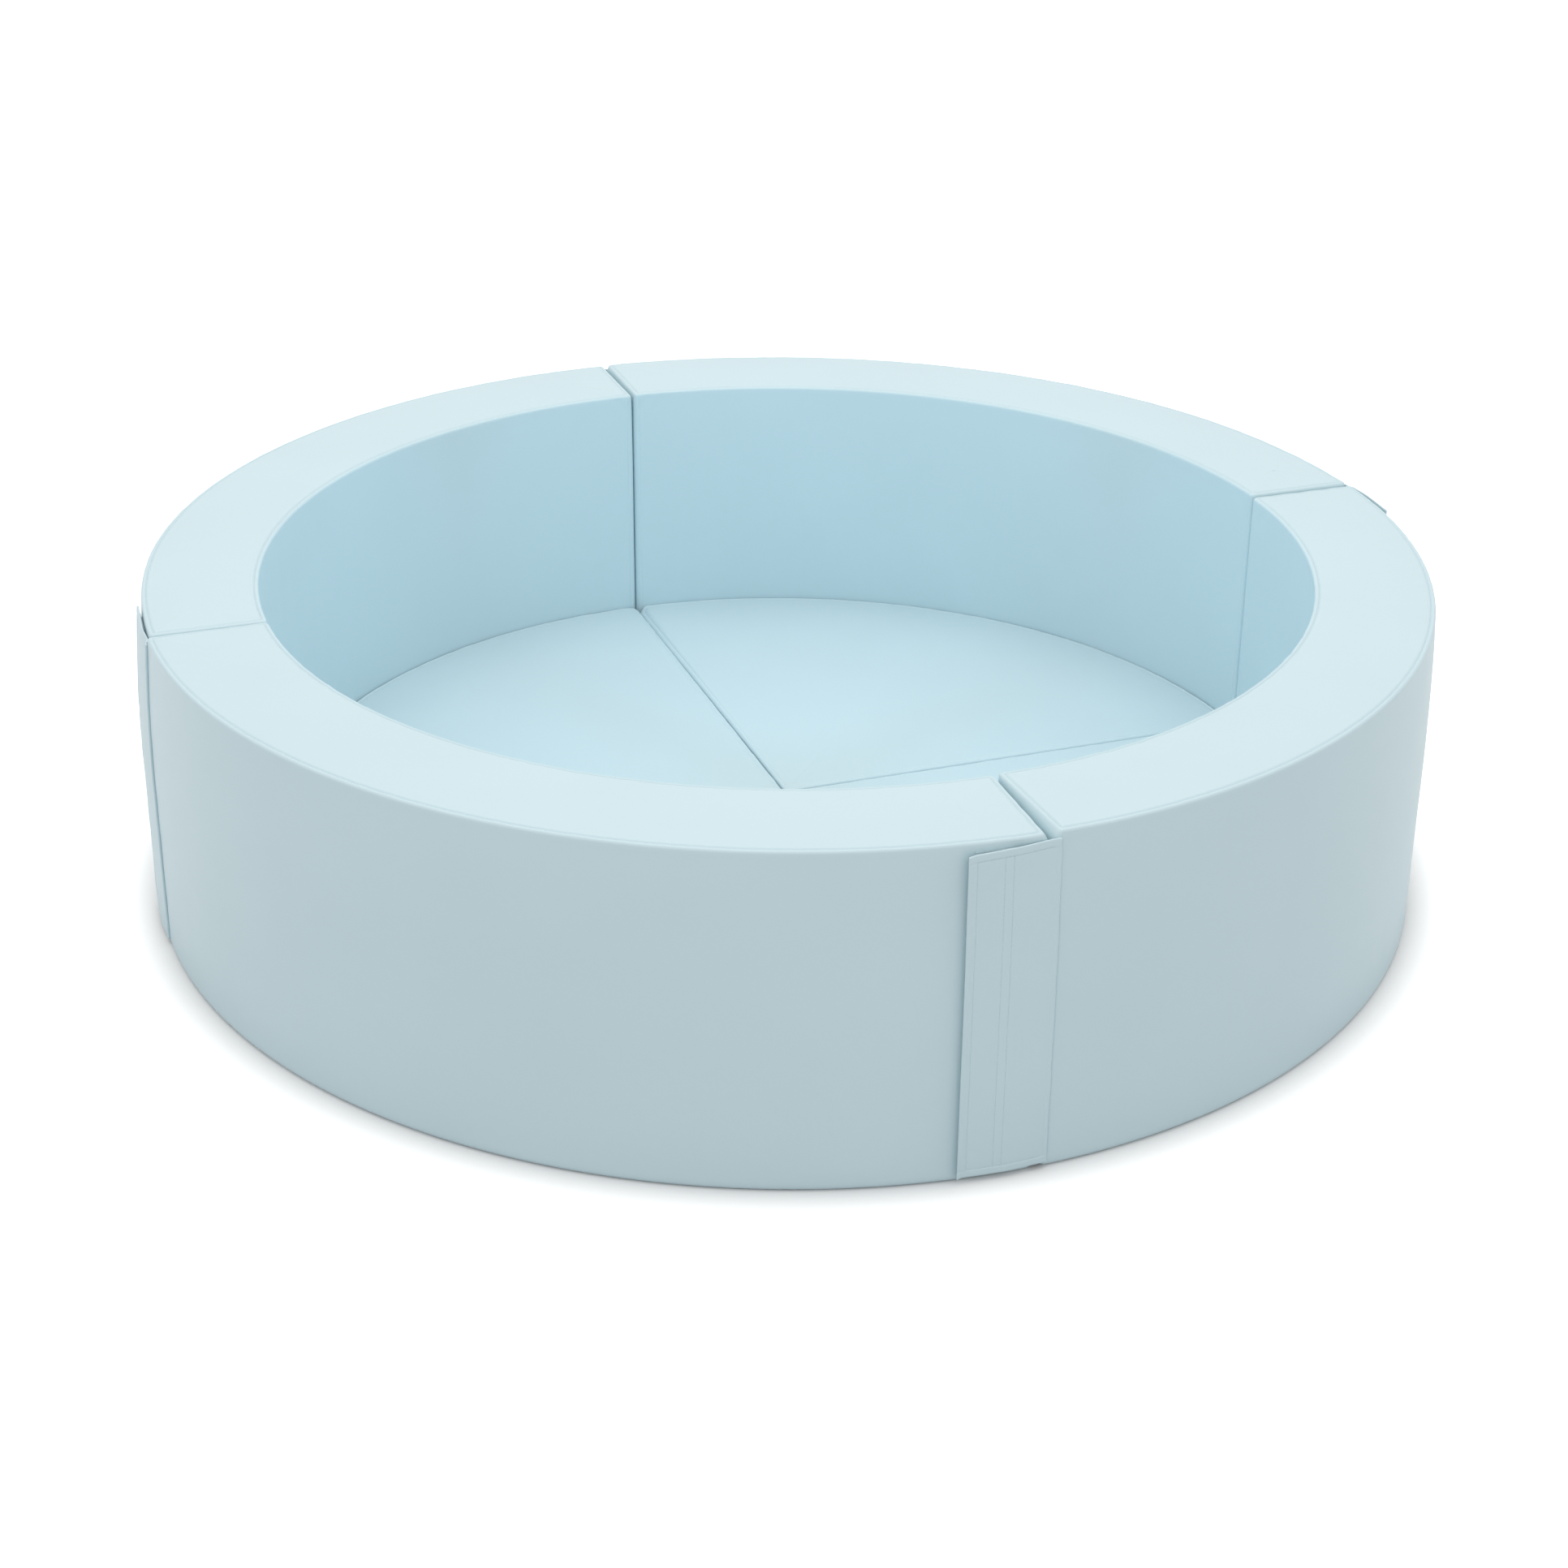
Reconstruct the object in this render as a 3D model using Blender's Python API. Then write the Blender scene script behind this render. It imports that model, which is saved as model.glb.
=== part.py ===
"""Round sectional ball pit: four curved foam walls in zip-off covers around four quarter-round floor cushions.

The sections stand in a ring and hold together by full-height flaps. Each flap is sewn to one section's corner and
grips the next section with hook and loop. Angles run anticlockwise seen from above; joint 0 is the first corner
anticlockwise from +X, and section k starts at joint k. Metres, +Z up, origin on the floor at the ring's centre.
"""

from collections import namedtuple
from math import asin, atan2, cos, floor, pi, radians, sin

import bmesh
import bpy
from mathutils import Matrix, Vector

# Ring of wall sections
section_names = ("back", "left", "front", "right")
first_joint_turn = radians(20)
arc_steps = 12
outer_radius = 0.750
wall_thickness = 0.140
wall_height = 0.380
wall_crown = 0.003
wall_crown_share = 0.45
wall_foot_radius = 0.004
wall_edge_radius = 0.0035
wall_corner_radius = 0.004
wall_seam_inset = 0.0055
# How far apart neighbours stand at each joint, at the inner and at the outer corner
joint_gaps = ((0.0015, 0.0025), (0.0035, 0.0045), (0.0015, 0.0025), (0.0030, 0.0100))

# Floor cushions
floor_height = 0.072
floor_crown = 0.004
floor_crown_reach = 0.110
floor_foot_radius = 0.004
floor_edge_radius = 0.008
floor_corner_radius = 0.022
floor_tip_radius = 0.010
floor_side_gap = 0.0008
floor_wall_gap = 0.0008

# Covers
cover_thickness = 0.0015
clearance = 0.0003
seam_width = 0.002
seam_depth = 0.0008

# Zips, each in a shallow channel in the underside
chain_width = 0.0060
chain_height = 0.0024
tape_thickness = 0.0008
tape_overlap = 0.006
zip_channel_depth = 0.0065
zip_channel_margin = 0.003
zip_end_margin = 0.012
zip_floor_setback = 0.060

# Zip sliders
slider_play = 0.0012
slider_wall = 0.0012
slider_plate = 0.0014
slider_length = 0.009
slider_gap = 0.0004
post_width = 0.0025
post_length = 0.003
pull_width = 0.005
pull_length = 0.022
pull_thickness = 0.0012
pull_gap = 0.0004

# Joining flaps with their hook and loop strips
flap_width = 0.096
flap_thickness = 0.0016
flap_end_margin = 0.0065
flap_lift = 0.0015
hem_width = 0.009
strip_width = 0.038
strip_thickness = 0.0012
strip_end_margin = 0.010
strip_steps = 3
root_steps = 4
flap_points = 10

corner_steps = 2
crown_shares = (0.3, 0.62, 1.0)
hidden_corner_steps = 1
hidden_crown_shares = (0.45, 1.0)
end_step_share = 0.5
corner_step_share = 0.125
smooth_angle = radians(35)
cut_overrun = 0.002

inner_radius = outer_radius - wall_thickness
cushion_radius = inner_radius - floor_wall_gap
arc_step = pi / 2 / arc_steps
slot_width = chain_width + 2 * (slider_play + slider_wall + slider_play)
channel_width = slot_width + 2 * zip_channel_margin
tape_width = slot_width + 2 * tape_overlap
tape_low = zip_channel_depth + cover_thickness + clearance
chain_low = tape_low - chain_height

Block = namedtuple("Block", "height foot edge crown reach seam")
wall_block = Block(
    wall_height, wall_foot_radius, wall_edge_radius, wall_crown, wall_thickness * wall_crown_share, wall_seam_inset
)
floor_block = Block(floor_height, floor_foot_radius, floor_edge_radius, floor_crown, floor_crown_reach, 0)

vinyl_blue = (0.58, 0.75, 0.80)
foam_cream = (0.87, 0.83, 0.70)
tape_grey = (0.62, 0.70, 0.73)
nickel = (0.75, 0.75, 0.74)
hook_white = (0.80, 0.84, 0.85)
loop_blue = (0.66, 0.78, 0.82)


def clear_scene():
    for obj in list(bpy.data.objects):
        bpy.data.objects.remove(obj)


def new_collection(name):
    collection = bpy.data.collections.new(name)
    bpy.context.scene.collection.children.link(collection)
    return collection


def new_material(name, color, roughness, metallic=0.0):
    material = bpy.data.materials.new(name)
    material.use_nodes = True
    shader = material.node_tree.nodes["Principled BSDF"]
    shader.inputs["Base Color"].default_value = (*color, 1)
    shader.inputs["Roughness"].default_value = roughness
    shader.inputs["Metallic"].default_value = metallic
    return material


def direction(angle):
    return Vector((cos(angle), sin(angle), 0))


def joint_turn(joint):
    return first_joint_turn + joint * pi / 2


def rounded_corner(corner, back, ahead, radius):
    """Points round a square corner, from the edge that leads back to the edge that leads ahead."""
    centre = corner + (back + ahead) * radius
    turns = [step * pi / 2 / corner_steps for step in range(corner_steps + 1)]
    return [centre - ahead * radius * cos(turn) - back * radius * sin(turn) for turn in turns]


def arc_between(section, radius, first, last):
    """Points on one radius between two corners, at steps that walls and cushions share, finer near the ends."""
    steps = [end_step_share, *range(1, arc_steps), arc_steps - end_step_share]
    ends = [(atan2(point.y, point.x) - joint_turn(section)) % (2 * pi) for point in (first, last)]
    low = max(steps[0] * arc_step, ends[0] + arc_step * corner_step_share)
    high = min(steps[-1] * arc_step, ends[1] - arc_step * corner_step_share)
    shares = [(step - steps[0]) / (steps[-1] - steps[0]) for step in steps]
    return [direction(joint_turn(section) + low + (high - low) * share) * radius for share in shares]


def end_point(joint, side, radius, inset):
    """Point on a wall's end face. Side is 1 for the section that starts at the joint and -1 for the one before it."""
    at_inner, at_outer = joint_gaps[joint % len(joint_gaps)]
    share = (radius - inner_radius) / wall_thickness
    offset = (at_inner + (at_outer - at_inner) * share) / 2 + inset
    return direction(joint_turn(joint) + side * asin(offset / radius)) * radius


def wall_outline(section, inset):
    """Outline of a wall section seen from above, drawn in by the inset."""
    outer, inner = outer_radius - inset, inner_radius + inset
    start_out, start_in = end_point(section, 1, outer, inset), end_point(section, 1, inner, inset)
    end_out, end_in = end_point(section + 1, -1, outer, inset), end_point(section + 1, -1, inner, inset)
    start_face = (start_out - start_in).normalized()
    end_face = (end_out - end_in).normalized()
    start_ahead = Vector((-start_face.y, start_face.x, 0))
    end_ahead = Vector((-end_face.y, end_face.x, 0))
    radius = wall_corner_radius
    outer_start = rounded_corner(start_out, -start_face, start_ahead, radius)
    outer_end = rounded_corner(end_out, -end_ahead, -end_face, radius)
    inner_end = rounded_corner(end_in, end_face, -end_ahead, radius)
    inner_start = rounded_corner(start_in, start_ahead, start_face, radius)
    outer_arc = arc_between(section, outer, outer_start[-1], outer_end[0])
    inner_arc = arc_between(section, inner, inner_start[0], inner_end[-1])
    return outer_start + outer_arc + outer_end + inner_end + inner_arc[::-1] + inner_start


def floor_outline(section, inset):
    """Outline of a quarter-round cushion seen from above, drawn in by the inset."""
    radius = cushion_radius - inset
    offset = floor_side_gap / 2 + inset
    start_face, end_face = direction(joint_turn(section)), direction(joint_turn(section + 1))
    reach = (radius ** 2 - offset ** 2) ** 0.5
    tip = (start_face + end_face) * offset
    start_corner = start_face * reach + end_face * offset
    end_corner = end_face * reach + start_face * offset
    arc_start = rounded_corner(start_corner, -start_face, end_face, floor_corner_radius)
    arc_end = rounded_corner(end_corner, start_face, -end_face, floor_corner_radius)
    arc = arc_between(section, radius, arc_start[-1], arc_end[0])
    return arc_start + arc + arc_end + rounded_corner(tip, end_face, start_face, floor_tip_radius)


def block_levels(block, skin):
    """Inset and height of each level of a padded block, from its flat underside to its crowned top."""
    edge_inset = skin + block.edge
    steps = hidden_corner_steps if skin else corner_steps
    turns = [step * pi / 2 / steps for step in range(steps + 1)]

    def top(inset):
        share = min(1, max(0, (inset - edge_inset) / (block.reach - edge_inset)))
        return block.height - skin + block.crown * (1 - (1 - share) ** 2)

    levels = [(skin + block.foot * (1 - sin(turn)), skin + block.foot * (1 - cos(turn))) for turn in turns]
    levels += [(skin + block.edge * (1 - cos(turn)), top(0) - block.edge * (1 - sin(turn))) for turn in turns]
    if block.seam and not skin:
        for inset, sunk in ((-seam_width / 2, 0), (0, seam_depth), (seam_width / 2, 0)):
            levels.append((block.seam + inset, top(block.seam + inset) - sunk))
    for share in hidden_crown_shares if skin else crown_shares:
        inset = edge_inset + share * (block.reach - edge_inset)
        levels.append((inset, top(inset)))
    return levels


def loft(loops):
    """Closed mesh through loops of as many points each, lowest first."""
    mesh = bmesh.new()
    rows = [[mesh.verts.new(point) for point in loop] for loop in loops]
    for low, high in zip(rows, rows[1:]):
        for index in range(len(low)):
            following = (index + 1) % len(low)
            mesh.faces.new((low[index], low[following], high[following], high[index]))
    mesh.faces.new(rows[0][::-1])
    mesh.faces.new(rows[-1])
    return mesh


def lifted(outline, height):
    return [Vector((point.x, point.y, height)) for point in outline]


def prism(outline, low, high):
    return loft([lifted(outline, low), lifted(outline, high)])


def block_mesh(outline, section, block, skin):
    return loft([lifted(outline(section, inset), height) for inset, height in block_levels(block, skin)])


def facet_point(section, radius, turn):
    """Point on the facets of a ring, at an angle from the section's first joint."""
    middle = (floor(turn / arc_step) + 0.5) * arc_step
    return direction(joint_turn(section) + turn) * radius * cos(arc_step / 2) / cos(turn - middle)


def arc_band(section, inner, outer, first, last):
    """Outline of a band between two radii, with its ends at angles from the section's first joint."""
    turns = [first, *(step * arc_step for step in range(arc_steps + 1) if first < step * arc_step < last), last]
    outer_side = [facet_point(section, outer, turn) for turn in turns]
    inner_side = [facet_point(section, inner, turn) for turn in turns]
    return outer_side + inner_side[::-1]


def add_object(name, mesh, collection, origin=(0, 0, 0)):
    """Object made from a mesh in world places, with its origin where asked."""
    data = bpy.data.meshes.new(name)
    mesh.transform(Matrix.Translation(-Vector(origin)))
    mesh.to_mesh(data)
    mesh.free()
    obj = bpy.data.objects.new(name, data)
    obj.location = origin
    collection.objects.link(obj)
    return obj


def add_cutter(name, mesh):
    obj = add_object(name, mesh, cutters)
    obj.hide_render = True
    obj.display_type = "WIRE"
    return obj


def add_piece(name, mesh, material, parent=None, origin=(0, 0, 0)):
    obj = add_object(name, mesh, parts, origin)
    obj.data.materials.append(material)
    obj.data.shade_smooth()
    obj.data.set_sharp_from_angle(angle=smooth_angle)
    if parent:
        bpy.context.view_layer.update()
        obj.parent = parent
        obj.matrix_parent_inverse = parent.matrix_world.inverted()
    return obj


def add_axis(name, location, parent=None):
    """Empty on a joint's axis, which carries the pieces that move with it."""
    empty = bpy.data.objects.new(name, None)
    parts.objects.link(empty)
    empty.location = location
    if parent:
        bpy.context.view_layer.update()
        empty.parent = parent
        empty.matrix_parent_inverse = parent.matrix_world.inverted()
    return empty


def boolean(obj, cutter, operation="DIFFERENCE"):
    modifier = obj.modifiers.new(cutter.name, "BOOLEAN")
    modifier.object = cutter
    modifier.operation = operation


def zip_ends(radius, margin):
    """Angles, from the section's first joint, of the ends of something in the zip's channel."""
    return arc_step + margin / radius, (arc_steps - 1) * arc_step - margin / radius


def zip_band(section, radius, width, margin):
    return arc_band(section, radius - width / 2, radius + width / 2, *zip_ends(radius, margin))


def add_cover_set(name, section, outline, block, zip_radius, parent):
    """Foam core, cover, zip and zip slider of one padded block."""
    lining_width = channel_width + 2 * cover_thickness
    lining_high = zip_channel_depth + cover_thickness
    cavity = add_cutter(f"{name}_cavity", block_mesh(outline, section, block, cover_thickness))
    lining = add_cutter(
        f"{name}_lining",
        prism(zip_band(section, zip_radius, lining_width, -cover_thickness), -cut_overrun, lining_high),
    )
    channel = add_cutter(
        f"{name}_channel",
        prism(zip_band(section, zip_radius, channel_width, 0), -cut_overrun, zip_channel_depth),
    )
    slot = add_cutter(
        f"{name}_slot",
        prism(zip_band(section, zip_radius, slot_width, zip_end_margin), -cut_overrun, lining_high + cut_overrun),
    )
    boolean(cavity, lining)
    cover = add_piece(f"{name}_cover", block_mesh(outline, section, block, 0), vinyl, parent)
    boolean(cover, channel)
    boolean(cover, cavity)
    boolean(cover, slot)

    core = add_piece(
        f"{name}_foam", block_mesh(outline, section, block, cover_thickness + clearance), foam, parent
    )
    groove_width = max(tape_width, lining_width) + 2 * clearance
    groove_high = tape_low + tape_thickness + clearance
    groove_margin = -cover_thickness - clearance
    groove = prism(zip_band(section, zip_radius, groove_width, groove_margin), -cut_overrun, groove_high)
    boolean(core, add_cutter(f"{name}_groove", groove))

    tape_margin = zip_end_margin - tape_overlap
    tape = prism(zip_band(section, zip_radius, tape_width, tape_margin), tape_low, tape_low + tape_thickness)
    closure = add_piece(f"{name}_zip", tape, zip_tape, parent)
    chain_band = zip_band(section, zip_radius, chain_width, zip_end_margin + clearance)
    chain = prism(chain_band, chain_low, tape_low + tape_thickness / 2)
    boolean(closure, add_cutter(f"{name}_chain", chain), "UNION")
    add_slider(name, section, zip_radius, parent)


def add_slider(name, section, zip_radius, parent):
    """Slider that straddles the chain from below, with its pull lying flat along the zip."""
    half_inner = chain_width / 2 + slider_play
    half_outer = half_inner + slider_wall
    plate_high = chain_low - slider_gap
    plate_low = plate_high - slider_plate
    wall_high = tape_low - slider_gap
    profile = (
        (-half_outer, plate_low),
        (half_outer, plate_low),
        (half_outer, wall_high),
        (half_inner, wall_high),
        (half_inner, plate_high),
        (-half_inner, plate_high),
        (-half_inner, wall_high),
        (-half_outer, wall_high),
    )
    turn = joint_turn(section) + zip_ends(zip_radius, zip_end_margin + slider_length)[1]
    outward, ahead = direction(turn), direction(turn + pi / 2)
    # The profile is drawn across the zip and upwards, and runs back along it. Its circle lies midway between the
    # corners and the middles of the chain's facets.
    frame = Matrix((outward, (0, 0, 1), -ahead)).transposed().to_4x4()
    frame.translation = outward * zip_radius * (1 + cos(arc_step / 2)) / 2 + ahead * slider_length / 2
    body = prism([Vector(point) for point in profile], 0, slider_length)
    body.transform(frame)
    pull_high = plate_low - pull_gap
    pull_outline = [
        Vector((across * pull_width / 2, height)) for across, height in
        ((-1, pull_high - pull_thickness), (1, pull_high - pull_thickness), (1, pull_high), (-1, pull_high))
    ]
    pull_start = (slider_length - post_length) / 2
    pull = prism(pull_outline, pull_start, pull_start + pull_length)
    pull.transform(frame)
    post_outline = [
        Vector((across * post_width / 2, height)) for across, height in
        ((-1, pull_high - pull_thickness / 2), (1, pull_high - pull_thickness / 2),
         (1, plate_low + slider_plate / 2), (-1, plate_low + slider_plate / 2))
    ]
    post = prism(post_outline, pull_start, pull_start + post_length)
    post.transform(frame)
    slider = add_piece(f"{name}_zip_slider", body, metal, parent)
    boolean(slider, add_cutter(f"{name}_zip_post", post), "UNION")
    boolean(slider, add_cutter(f"{name}_zip_pull", pull), "UNION")


def hinge_turn(joint):
    """Angle of the sewn edge on which the flap at a joint folds: where the corner's rounding ends."""
    return joint_turn(joint) + (joint_gaps[joint][1] / 2 + wall_corner_radius) / outer_radius


def hinge_point(joint):
    return direction(hinge_turn(joint)) * (outer_radius + clearance + flap_thickness / 2)


def strip_band(joint, low, high):
    """Outline of a hook or loop strip under a flap, between two heights above the wall's outer face."""
    near = flap_width - hem_width - strip_width
    places = [near + strip_width * step / strip_steps for step in range(strip_steps + 1)]
    turns = [hinge_turn(joint) - place / outer_radius for place in places]
    outer_side = [direction(turn) * (outer_radius + high) for turn in reversed(turns)]
    inner_side = [direction(turn) * (outer_radius + low) for turn in turns]
    return outer_side + inner_side


def flap_outline(joint):
    """Flap seen from above: round at its sewn edge, rising over the strips, lifting a little at its hem."""
    root_height = clearance + flap_thickness / 2
    over_strips = 3 * clearance + 2 * strip_thickness + flap_thickness / 2
    rise_width = flap_width - hem_width - strip_width
    outer_side, inner_side = [], []
    for step in range(flap_points + 1):
        along = flap_width * step / flap_points
        rise = min(1, along / rise_width)
        hem = max(0, (along - flap_width + hem_width) / hem_width)
        height = root_height + (over_strips - root_height) * rise ** 2 * (3 - 2 * rise) + flap_lift * hem
        ray = direction(hinge_turn(joint) - along / outer_radius)
        outer_side.append(ray * (outer_radius + height + flap_thickness / 2))
        inner_side.append(ray * (outer_radius + height - flap_thickness / 2))
    outward = direction(hinge_turn(joint))
    ahead = direction(hinge_turn(joint) + pi / 2)
    turns = [pi * step / root_steps for step in range(1, root_steps)]
    root = [hinge_point(joint) + (outward * cos(turn) + ahead * sin(turn)) * flap_thickness / 2 for turn in turns]
    return outer_side[::-1] + root + inner_side


def add_flap(joint, holder, gripped):
    """Flap sewn to the section that starts at a joint, its hook strip, and the loop strip it grips."""
    name = section_names[joint]
    origin = hinge_point(joint)
    flap = add_piece(
        f"{name}_joining_flap",
        prism(flap_outline(joint), flap_end_margin, wall_height - flap_end_margin),
        vinyl, holder, origin,
    )
    strip_low = flap_end_margin + strip_end_margin
    strip_high = wall_height - strip_low
    hook_low = 2 * clearance + strip_thickness
    hook_band = strip_band(joint, hook_low, hook_low + strip_thickness)
    add_piece(f"{name}_flap_hook_strip", prism(hook_band, strip_low, strip_high), hook_strip, flap, origin)
    loop_band = strip_band(joint, clearance, clearance + strip_thickness)
    neighbour = section_names[joint - 1]
    add_piece(f"{neighbour}_wall_loop_strip", prism(loop_band, strip_low, strip_high), loop_strip, gripped)


clear_scene()
parts = new_collection("ball_pit")
cutters = new_collection("ball_pit_cutters")
vinyl = new_material("vinyl", vinyl_blue, 0.42)
foam = new_material("foam", foam_cream, 0.95)
zip_tape = new_material("zip_tape", tape_grey, 0.8)
metal = new_material("slider_metal", nickel, 0.3, 1.0)
hook_strip = new_material("hook_strip", hook_white, 0.7)
loop_strip = new_material("loop_strip", loop_blue, 0.9)

back, left, front, right = range(len(section_names))
# The right wall is the one that stays put. The front wall swings on the right wall's flap, and the back wall on
# the left wall's flap, with which it lifts away.
wall_holders = {right: None, left: add_axis("left_wall_lift", (0, 0, 0))}
wall_holders[front] = add_axis("front_wall_hinge", hinge_point(right))
wall_holders[back] = add_axis("back_wall_hinge", hinge_point(left), wall_holders[left])

for section, section_name in enumerate(section_names):
    add_cover_set(
        f"{section_name}_wall", section, wall_outline, wall_block,
        (outer_radius + inner_radius) / 2, wall_holders[section],
    )
    add_cover_set(
        f"{section_name}_floor", section, floor_outline, floor_block,
        cushion_radius - zip_floor_setback, add_axis(f"{section_name}_floor_lift", (0, 0, 0)),
    )

# A flap on which a wall swings moves with the wall it grips; each other flap moves with the wall it is sewn to
add_flap(right, wall_holders[front], wall_holders[front])
add_flap(left, wall_holders[back], wall_holders[back])
add_flap(front, wall_holders[front], wall_holders[left])
add_flap(back, wall_holders[back], wall_holders[right])
bpy.context.view_layer.update()
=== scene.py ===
"""Round sectional ball pit in pale blue vinyl covers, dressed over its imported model, in a plain studio."""

from math import cos, pi, radians, sin

import bpy
import numpy as np
from bpy.props import FloatProperty, FloatVectorProperty, PointerProperty
from mathutils import Matrix, Vector
from mathutils.kdtree import KDTree


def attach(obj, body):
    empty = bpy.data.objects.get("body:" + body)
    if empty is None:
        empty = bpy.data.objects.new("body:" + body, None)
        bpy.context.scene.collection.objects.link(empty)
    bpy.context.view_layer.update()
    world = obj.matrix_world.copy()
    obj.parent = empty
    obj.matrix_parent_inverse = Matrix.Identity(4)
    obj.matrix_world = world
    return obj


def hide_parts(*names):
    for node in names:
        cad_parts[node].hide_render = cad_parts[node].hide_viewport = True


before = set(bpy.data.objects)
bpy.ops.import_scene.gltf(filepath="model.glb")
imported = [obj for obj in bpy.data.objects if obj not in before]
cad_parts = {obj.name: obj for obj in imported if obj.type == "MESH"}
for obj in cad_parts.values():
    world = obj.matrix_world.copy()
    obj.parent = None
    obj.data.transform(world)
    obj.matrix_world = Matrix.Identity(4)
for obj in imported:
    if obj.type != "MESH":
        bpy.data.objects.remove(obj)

bl_info = {
    "name": "Sectional Ball Pit",
    "version": (1, 0, 0),
    "blender": (4, 5, 0),
    "location": "3D View > Sidebar > Ball Pit",
    "description": "Makes the covers, flaps, zips and fastenings of a sectional ball pit, and its studio",
    "category": "Object",
}

SECTIONS = ("back", "left", "front", "right")
FIRST_JOINT = radians(20)
RING_RADIUS = 0.750
WALL_THICKNESS = 0.140
WALL_HEIGHT = 0.380
# How far apart neighbours stand at each joint, at the inner and at the outer corner
JOINT_GAPS = ((0.0015, 0.0025), (0.0035, 0.0045), (0.0015, 0.0025), (0.0030, 0.0100))
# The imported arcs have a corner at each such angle, and their sliders run halfway between corners and flats
FACET = pi / 24
ROUND_SHARE = (1 + cos(FACET / 2)) / 2
INNER_RADIUS = RING_RADIUS - WALL_THICKNESS
CUSHION_RADIUS = INNER_RADIUS - 0.0008
CUSHION_HEIGHT = 0.072
CUSHION_GAP = 0.0008
COVER_THICKNESS = 0.0015
# Between pieces that lie on each other
CLEARANCE = 0.0003

# Distances from a corner at which a cover's mesh has its closer points
NEAR_CORNER = (0.0006, 0.0012, 0.0018, 0.0025, 0.0034, 0.0048, 0.0070, 0.0105)

# Zips, in their channels in the undersides. Margins run from a channel's end to its slot, tape or chain
WALL_ZIP_RADIUS = (RING_RADIUS - WALL_THICKNESS / 2) * ROUND_SHARE
FLOOR_ZIP_RADIUS = (CUSHION_RADIUS - 0.060) * ROUND_SHARE
SLOT_WIDTH = 0.0132
CHANNEL_WIDTH = 0.0192
TAPE_WIDTH = 0.0252
CHANNEL_DEPTH = 0.0065
TAPE_LOW = 0.0083
TAPE_THICKNESS = 0.0008
SLOT_MARGIN = 0.012
TAPE_MARGIN = 0.006
CHAIN_MARGIN = 0.013
CHAIN_HEIGHT = 0.0073
# Points of a tape along its arcs, across its ends and round its corners, and points along a row of teeth
TAPE_COUNTS = (140, 2, 3)
CHAIN_POINTS = 150

# Flaps and their strips
FLAP_WIDTH = 0.096
FLAP_THICKNESS = 0.0016
HEM_WIDTH = 0.009
STRIP_WIDTH = 0.038
STRIP_THICKNESS = 0.0009
# From a wall's foot or top to its flap's, from there to the strip's, and from a corner to the sewn edge
FLAP_END = 0.0065
STRIP_MARGIN = 0.0035
HINGE_INSET = 0.004


def direction(turn):
    """Unit vectors in plan at one angle or an array of them."""
    turn = np.asarray(turn, float)
    return np.stack([np.cos(turn), np.sin(turn), np.zeros_like(turn)], -1)


def joint_turn(joint):
    return FIRST_JOINT + joint * pi / 2


def polar(points):
    """Distances from the ring's axis, and angles round it."""
    return np.linalg.norm(points[..., :2], axis=-1), np.arctan2(points[..., 1], points[..., 0])


def turn_from(joint, turns):
    """Angles from a joint, between half a turn back and half a turn ahead."""
    return (turns - joint_turn(joint) + pi) % (2 * pi) - pi


def smooth_step(values, low, high):
    share = np.clip((values - low) / (high - low), 0, 1)
    return share * share * (3 - 2 * share)


def bell(distance, width):
    """1 in the middle, and less and less within a few widths of it."""
    return np.exp(-(distance / width) ** 2)


def fading(distance, reach):
    """1 up to an edge, and less and less beyond it."""
    return np.exp(-np.clip(distance, 0, None) / reach)


def ends_of(section):
    """A section's two joints, each with the side of it that the section is on."""
    return (section, 1), (section + 1, -1)


class Waves:
    """Smooth, repeatable unevenness: a sum of sine waves with seeded lengths, directions and phases."""

    def __init__(self, seed, shortest, longest, count=14):
        generator = np.random.default_rng(seed)
        lengths = shortest * (longest / shortest) ** generator.random(count)
        turns = generator.random(count) * pi
        self.waves = 2 * pi / lengths[:, None] * np.stack([np.cos(turns), np.sin(turns)], -1)
        self.phases = generator.random(count) * 2 * pi

    def __call__(self, along, across=0.0):
        along, across = np.broadcast_arrays(along, across)
        total = sum(
            np.sin(wave[0] * along + wave[1] * across + phase) for wave, phase in zip(self.waves, self.phases)
        )
        return total / len(self.phases) ** 0.5


def corner_points(corner, back, ahead, radius, count):
    """Points round a square corner, from the edge that leads back to the edge that leads ahead."""
    centre = corner + (back + ahead) * radius
    turns = np.linspace(0, pi / 2, count)[:, None]
    return centre - ahead * radius * np.cos(turns) - back * radius * np.sin(turns)


def straight(start, end, count):
    """Points strictly between two ends."""
    shares = np.arange(1, count + 1)[:, None] / (count + 1)
    return start + (end - start) * shares


def corner_to_circle(point, outward, inward, circle, radius, count, inner=False):
    """Points round a corner, from a straight side to the circle about the origin that it meets."""
    reach = circle + radius if inner else circle - radius
    start = point + inward * radius
    ahead = start @ outward
    centre = start + outward * (np.sqrt(ahead ** 2 - start @ start + reach ** 2) - ahead)
    to_circle = centre / np.linalg.norm(centre) * (-1 if inner else 1)
    turn = np.arccos(np.clip(-inward @ to_circle, -1, 1))
    shares = np.linspace(0, 1, count)[:, None]
    spread = (-inward * np.sin(turn * (1 - shares)) + to_circle * np.sin(turn * shares)) / np.sin(turn)
    return centre + spread * radius


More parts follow.
